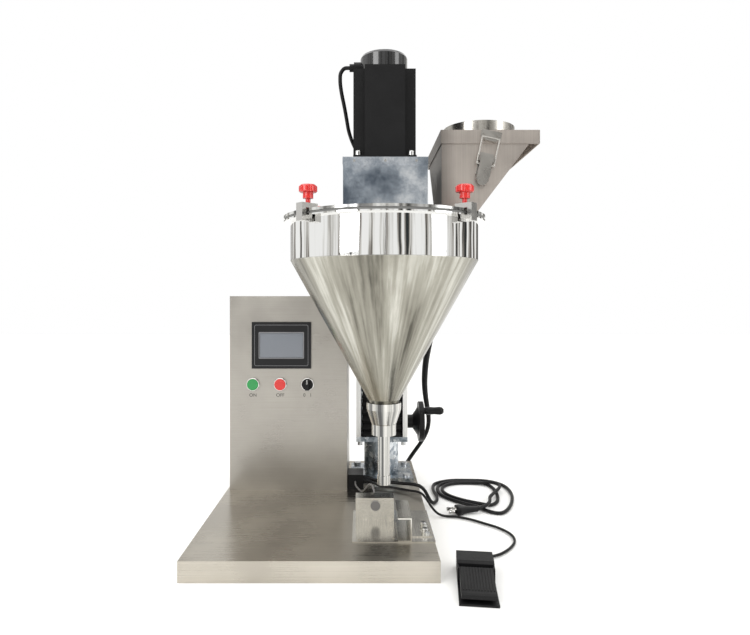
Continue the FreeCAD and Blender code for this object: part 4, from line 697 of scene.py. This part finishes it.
bmesh.ops.bevel(pins, geom=pins.edges[:], offset=0.0005, segments=2, affect="EDGES")
pins.to_mesh(pins_data)
pins.free()
plug_pins = new_piece("plug_pins", pins_data, bright_steel)
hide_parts("power_plug")
for piece in (plug_body, plug_pins):
    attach(piece, "base")

# %% [markdown]
# The harness carries every wire from the base up to the moving head. It is a woven sleeve,
# thicker at the top.

# %% Lift harness
HARNESS_POINTS = [(198, 296, 17), (199, 311, 18), (204, 325, 24), (214, 333, 37), (227, 333, 55),
                  (240, 328, 75), (252, 322, 97), (259, 316, 122), (259, 311, 149), (254, 306, 176),
                  (249, 300, 205), (246, 293, 236), (246, 284, 268), (248, 273, 301), (253, 260, 335),
                  (258, 245, 370), (261, 228, 405), (261, 209, 440), (258, 189, 475), (252, 169, 508),
                  (244, 149, 541), (233, 130, 571), (219, 113, 598), (204, 99, 625), (188, 93, 645),
                  (171.4, 93, 645)]
harness_points = [tuple(v / 1000 for v in point) for point in HARNESS_POINTS]
count = len(harness_points)
swell = [0.85 + 0.48 * min(1.0, max(0.0, (n - 6) / 6)) for n in range(count)]


def as_mesh(thing, name):
    """The finished shape of a curve or of an object with modifiers, as a plain mesh object."""
    graph = bpy.context.evaluated_depsgraph_get()
    data = bpy.data.meshes.new_from_object(thing.evaluated_get(graph))
    bpy.data.objects.remove(thing)
    data.name = name
    made = bpy.data.objects.new(name, data)
    bpy.context.scene.collection.objects.link(made)
    return made


harness = as_mesh(cord_curve("harness_line", harness_points, 0.006, harness_sleeve, swell), "harness")
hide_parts("lift_harness")
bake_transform(harness)

# %% [markdown]
# The controls carry only generic words: ON, OFF and 0 1. Each word is a thin flat mesh made
# from Blender's own font, laid on the front sheet. The touch screen's bezel has two thin
# grey lines, one near its edge and one round the screen.

# %% Words and lines on the front
sheet_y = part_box("touch_screen_housing")[0].y + 0.005
button_z = (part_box("start_button")[0].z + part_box("start_button")[1].z) / 2
word_drop = 0.024
word_size = 0.0105


def word(name, text, x, z, size, material):
    """A flat word that faces the front."""
    font = bpy.data.curves.new(name, "FONT")
    font.body = text
    font.size = size
    font.align_x = "CENTER"
    font.align_y = "CENTER"
    font.extrude = 0.0001
    line = bpy.data.objects.new(name, font)
    bpy.context.scene.collection.objects.link(line)
    made = as_mesh(line, name)
    upright = Matrix.Rotation(math.pi / 2, 4, "X")
    made.data.transform(Matrix.Translation((x, sheet_y - 0.0001, z)) @ upright)
    made.data.materials.clear()
    made.data.materials.append(material)
    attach(made, "base")


ink = moulded("printed_ink", (0.01, 0.01, 0.01), 0.5, 200.0, 0.0)
for name, text in (("start_button", "ON"), ("stop_button", "OFF"), ("selector_knob", "0   1")):
    low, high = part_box(name)
    word("word_" + name, text, (low.x + high.x) / 2, button_z - word_drop, word_size, ink)
    print("word", text.split(), "under", name)


def rounded_outline(half_wide, half_high, radius, corner_steps=6):
    points = []
    for quarter, (sx, sz) in enumerate(((1, 1), (-1, 1), (-1, -1), (1, -1))):
        for step in range(corner_steps + 1):
            angle = math.pi / 2 * (quarter + step / corner_steps)
            points.append((sx * (half_wide - radius) + radius * math.cos(angle),
                           sz * (half_high - radius) + radius * math.sin(angle)))
    return points


def flat_frame(name, centre, outer, inner, radius, thick, material):
    """A thin raised frame between two rounded rectangles, facing the front."""
    mesh = bmesh.new()
    rings = []
    for (half_wide, half_high), bend, y in ((outer, radius, 0), (outer, radius, -thick),
                                            (inner, radius * 0.8, -thick), (inner, radius * 0.8, 0)):
        rings.append([mesh.verts.new((centre[0] + x, centre[1] + y, centre[2] + z))
                      for x, z in rounded_outline(half_wide, half_high, bend)])
    for one, two in zip(rings, rings[1:] + rings[:1]):
        for i in range(len(one)):
            j = (i + 1) % len(one)
            mesh.faces.new((one[i], one[j], two[j], two[i]))
    bmesh.ops.recalc_face_normals(mesh, faces=mesh.faces)
    data = bpy.data.meshes.new(name)
    mesh.to_mesh(data)
    mesh.free()
    made = new_piece(name, data, material, smooth=False)
    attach(made, "base")
    return made


housing_low, housing_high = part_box("touch_screen_housing")
screen_low, screen_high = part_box("touch_screen_glass")
middle = (housing_low + housing_high) / 2
housing_half = (housing_high - housing_low) / 2
screen_half = (screen_high - screen_low) / 2
line_inset, line_wide = 0.006, 0.0008
line_grey = moulded("bezel_line_grey", (0.20, 0.20, 0.21), 0.35, 300.0, 0.0)
flat_frame("bezel_line", (middle.x, housing_low.y + 0.0001, middle.z),
           (housing_half.x - line_inset, housing_half.z - line_inset),
           (housing_half.x - line_inset - line_wide, housing_half.z - line_inset - line_wide),
           0.004, 0.0004, line_grey)
flat_frame("screen_line", (middle.x, housing_low.y + 0.0001, middle.z),
           (screen_half.x + 0.0022, screen_half.z + 0.0022),
           (screen_half.x + 0.0003, screen_half.z + 0.0003), 0.002, 0.0005, line_grey)

# %% [markdown]
# The selector's pointer is a white bar along the top half of its grip. It turns with the
# knob, so it rides the selector's own body.

# %% Selector pointer
knob_low, knob_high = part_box("selector_knob")
knob_middle = (knob_low + knob_high) / 2
pointer_half = (0.0011, 0.0045)
pointer = flat_frame("selector_pointer", (knob_middle.x, knob_low.y + 0.0001, knob_middle.z + 0.0065),
                     pointer_half, (0.00005, 0.00005), 0.001, 0.0005, white_mark)
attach(pointer, "selector")
print("pointer at", tuple(round(v, 4) for v in knob_middle))

# %% [markdown]
# Socket screws repeat over the machine: on the motor's ears, on the drive box's cover and on
# the foot of the side stop. One head is modelled, with its bevelled rim and its
# six-sided socket, and a node tree sets a copy on each point of a mesh. The tree turns
# every copy by the same rotation, so one tree serves screws that face up and screws that
# face the front.

# %% One socket screw
def socket_head(name, radius, height, material):
    mesh = bmesh.new()
    sides = 24
    profile = [(radius * 0.97, 0.0), (radius, height * 0.1), (radius, height * 0.82),
               (radius * 0.88, height), (radius * 0.56, height)]
    rings = [[mesh.verts.new((r * math.cos(math.tau * k / sides), r * math.sin(math.tau * k / sides), z))
              for k in range(sides)] for r, z in profile]
    hexagon = []
    for k in range(sides):
        angle = math.tau * k / sides
        near = (angle % (math.tau / 6)) - math.tau / 12
        reach = radius * 0.48 * math.cos(math.tau / 12) / math.cos(near)
        hexagon.append((reach * math.cos(angle), reach * math.sin(angle)))
    rings.append([mesh.verts.new((x, y, height)) for x, y in hexagon])
    rings.append([mesh.verts.new((x, y, height * 0.45)) for x, y in hexagon])
    for below, above in zip(rings, rings[1:]):
        for i in range(sides):
            j = (i + 1) % sides
            mesh.faces.new((below[i], below[j], above[j], above[i]))
    mesh.faces.new(rings[0][::-1])
    mesh.faces.new(rings[-1])
    data = bpy.data.meshes.new(name)
    mesh.to_mesh(data)
    mesh.free()
    return new_piece(name, data, material, smooth=False)


# %% The tree that copies it
def copies_tree():
    tree = bpy.data.node_groups.new("set_on_points", "GeometryNodeTree")
    tree.is_modifier = True
    sockets = {}
    for label, kind in (("Geometry", "NodeSocketGeometry"), ("Piece", "NodeSocketObject"),
                        ("Turn", "NodeSocketRotation"), ("Finish", "NodeSocketMaterial")):
        sockets[label] = tree.interface.new_socket(label, in_out="INPUT", socket_type=kind).identifier
    tree.interface.new_socket("Geometry", in_out="OUTPUT", socket_type="NodeSocketGeometry")
    given = tree.nodes.new("NodeGroupInput")
    made = tree.nodes.new("NodeGroupOutput")
    source = tree.nodes.new("GeometryNodeObjectInfo")
    points = tree.nodes.new("GeometryNodeInstanceOnPoints")
    real = tree.nodes.new("GeometryNodeRealizeInstances")
    finish_node = tree.nodes.new("GeometryNodeSetMaterial")
    tree.links.new(given.outputs["Piece"], source.inputs["Object"])
    tree.links.new(given.outputs["Geometry"], points.inputs["Points"])
    tree.links.new(source.outputs["Geometry"], points.inputs["Instance"])
    tree.links.new(given.outputs["Turn"], points.inputs["Rotation"])
    tree.links.new(points.outputs["Instances"], real.inputs["Geometry"])
    tree.links.new(real.outputs["Geometry"], finish_node.inputs["Geometry"])
    tree.links.new(given.outputs["Finish"], finish_node.inputs["Material"])
    tree.links.new(finish_node.outputs["Geometry"], made.inputs["Geometry"])
    return tree, sockets


on_points, socket_of = copies_tree()
print("tree inputs:", socket_of)


def set_copies(name, places, piece, turn, material, body):
    """Copies of a piece on the given points, as one plain mesh that rides a body."""
    data = bpy.data.meshes.new(name + "_points")
    data.from_pydata(places, [], [])
    holder = bpy.data.objects.new(name + "_points", data)
    bpy.context.scene.collection.objects.link(holder)
    modifier = holder.modifiers.new("copies", "NODES")
    modifier.node_group = on_points
    modifier[socket_of["Piece"]] = piece
    modifier[socket_of["Turn"]] = turn
    modifier[socket_of["Finish"]] = material
    bpy.context.view_layer.update()
    made = as_mesh(holder, name)
    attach(made, body)
    return made


# %% Set the screws
UPRIGHT = (0.0, 0.0, 0.0)
FORWARD = (math.pi / 2, 0.0, 0.0)
screw_steel = polished("screw_steel", (0.52, 0.52, 0.51), 0.2, 40.0)
large_head = socket_head("large_head", 0.0056, 0.009, screw_steel)
small_head = socket_head("small_head", 0.0024, 0.0018, screw_steel)
ear_spread, ear_low = 0.046, 0.7058
set_copies("motor_screws", [(auger_axis.x + a * ear_spread, auger_axis.y + b * ear_spread, ear_low)
                            for a in (-1, 1) for b in (-1, 1)], large_head, UPRIGHT, screw_steel, "head")
cover_low, cover_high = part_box("drive_box_cover")
cover_z = (cover_low.z + cover_high.z) / 2
set_copies("box_cover_screws", [(x, cover_low.y - 0.0001, cover_z)
                                for x in (cover_low.x + 0.02, (cover_low.x + cover_high.x) / 2,
                                          cover_high.x - 0.02)], small_head, FORWARD, screw_steel, "head")
foot_low, foot_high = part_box("side_stop")
foot_top = 0.0384
screw_inset = 0.012
set_copies("stop_screws", [(foot_high.x - screw_inset, y, foot_top)
                           for y in (foot_low.y + 0.035, foot_high.y - 0.03)],
           large_head, UPRIGHT, screw_steel, "base")
for head in (large_head, small_head):
    bpy.data.objects.remove(head)
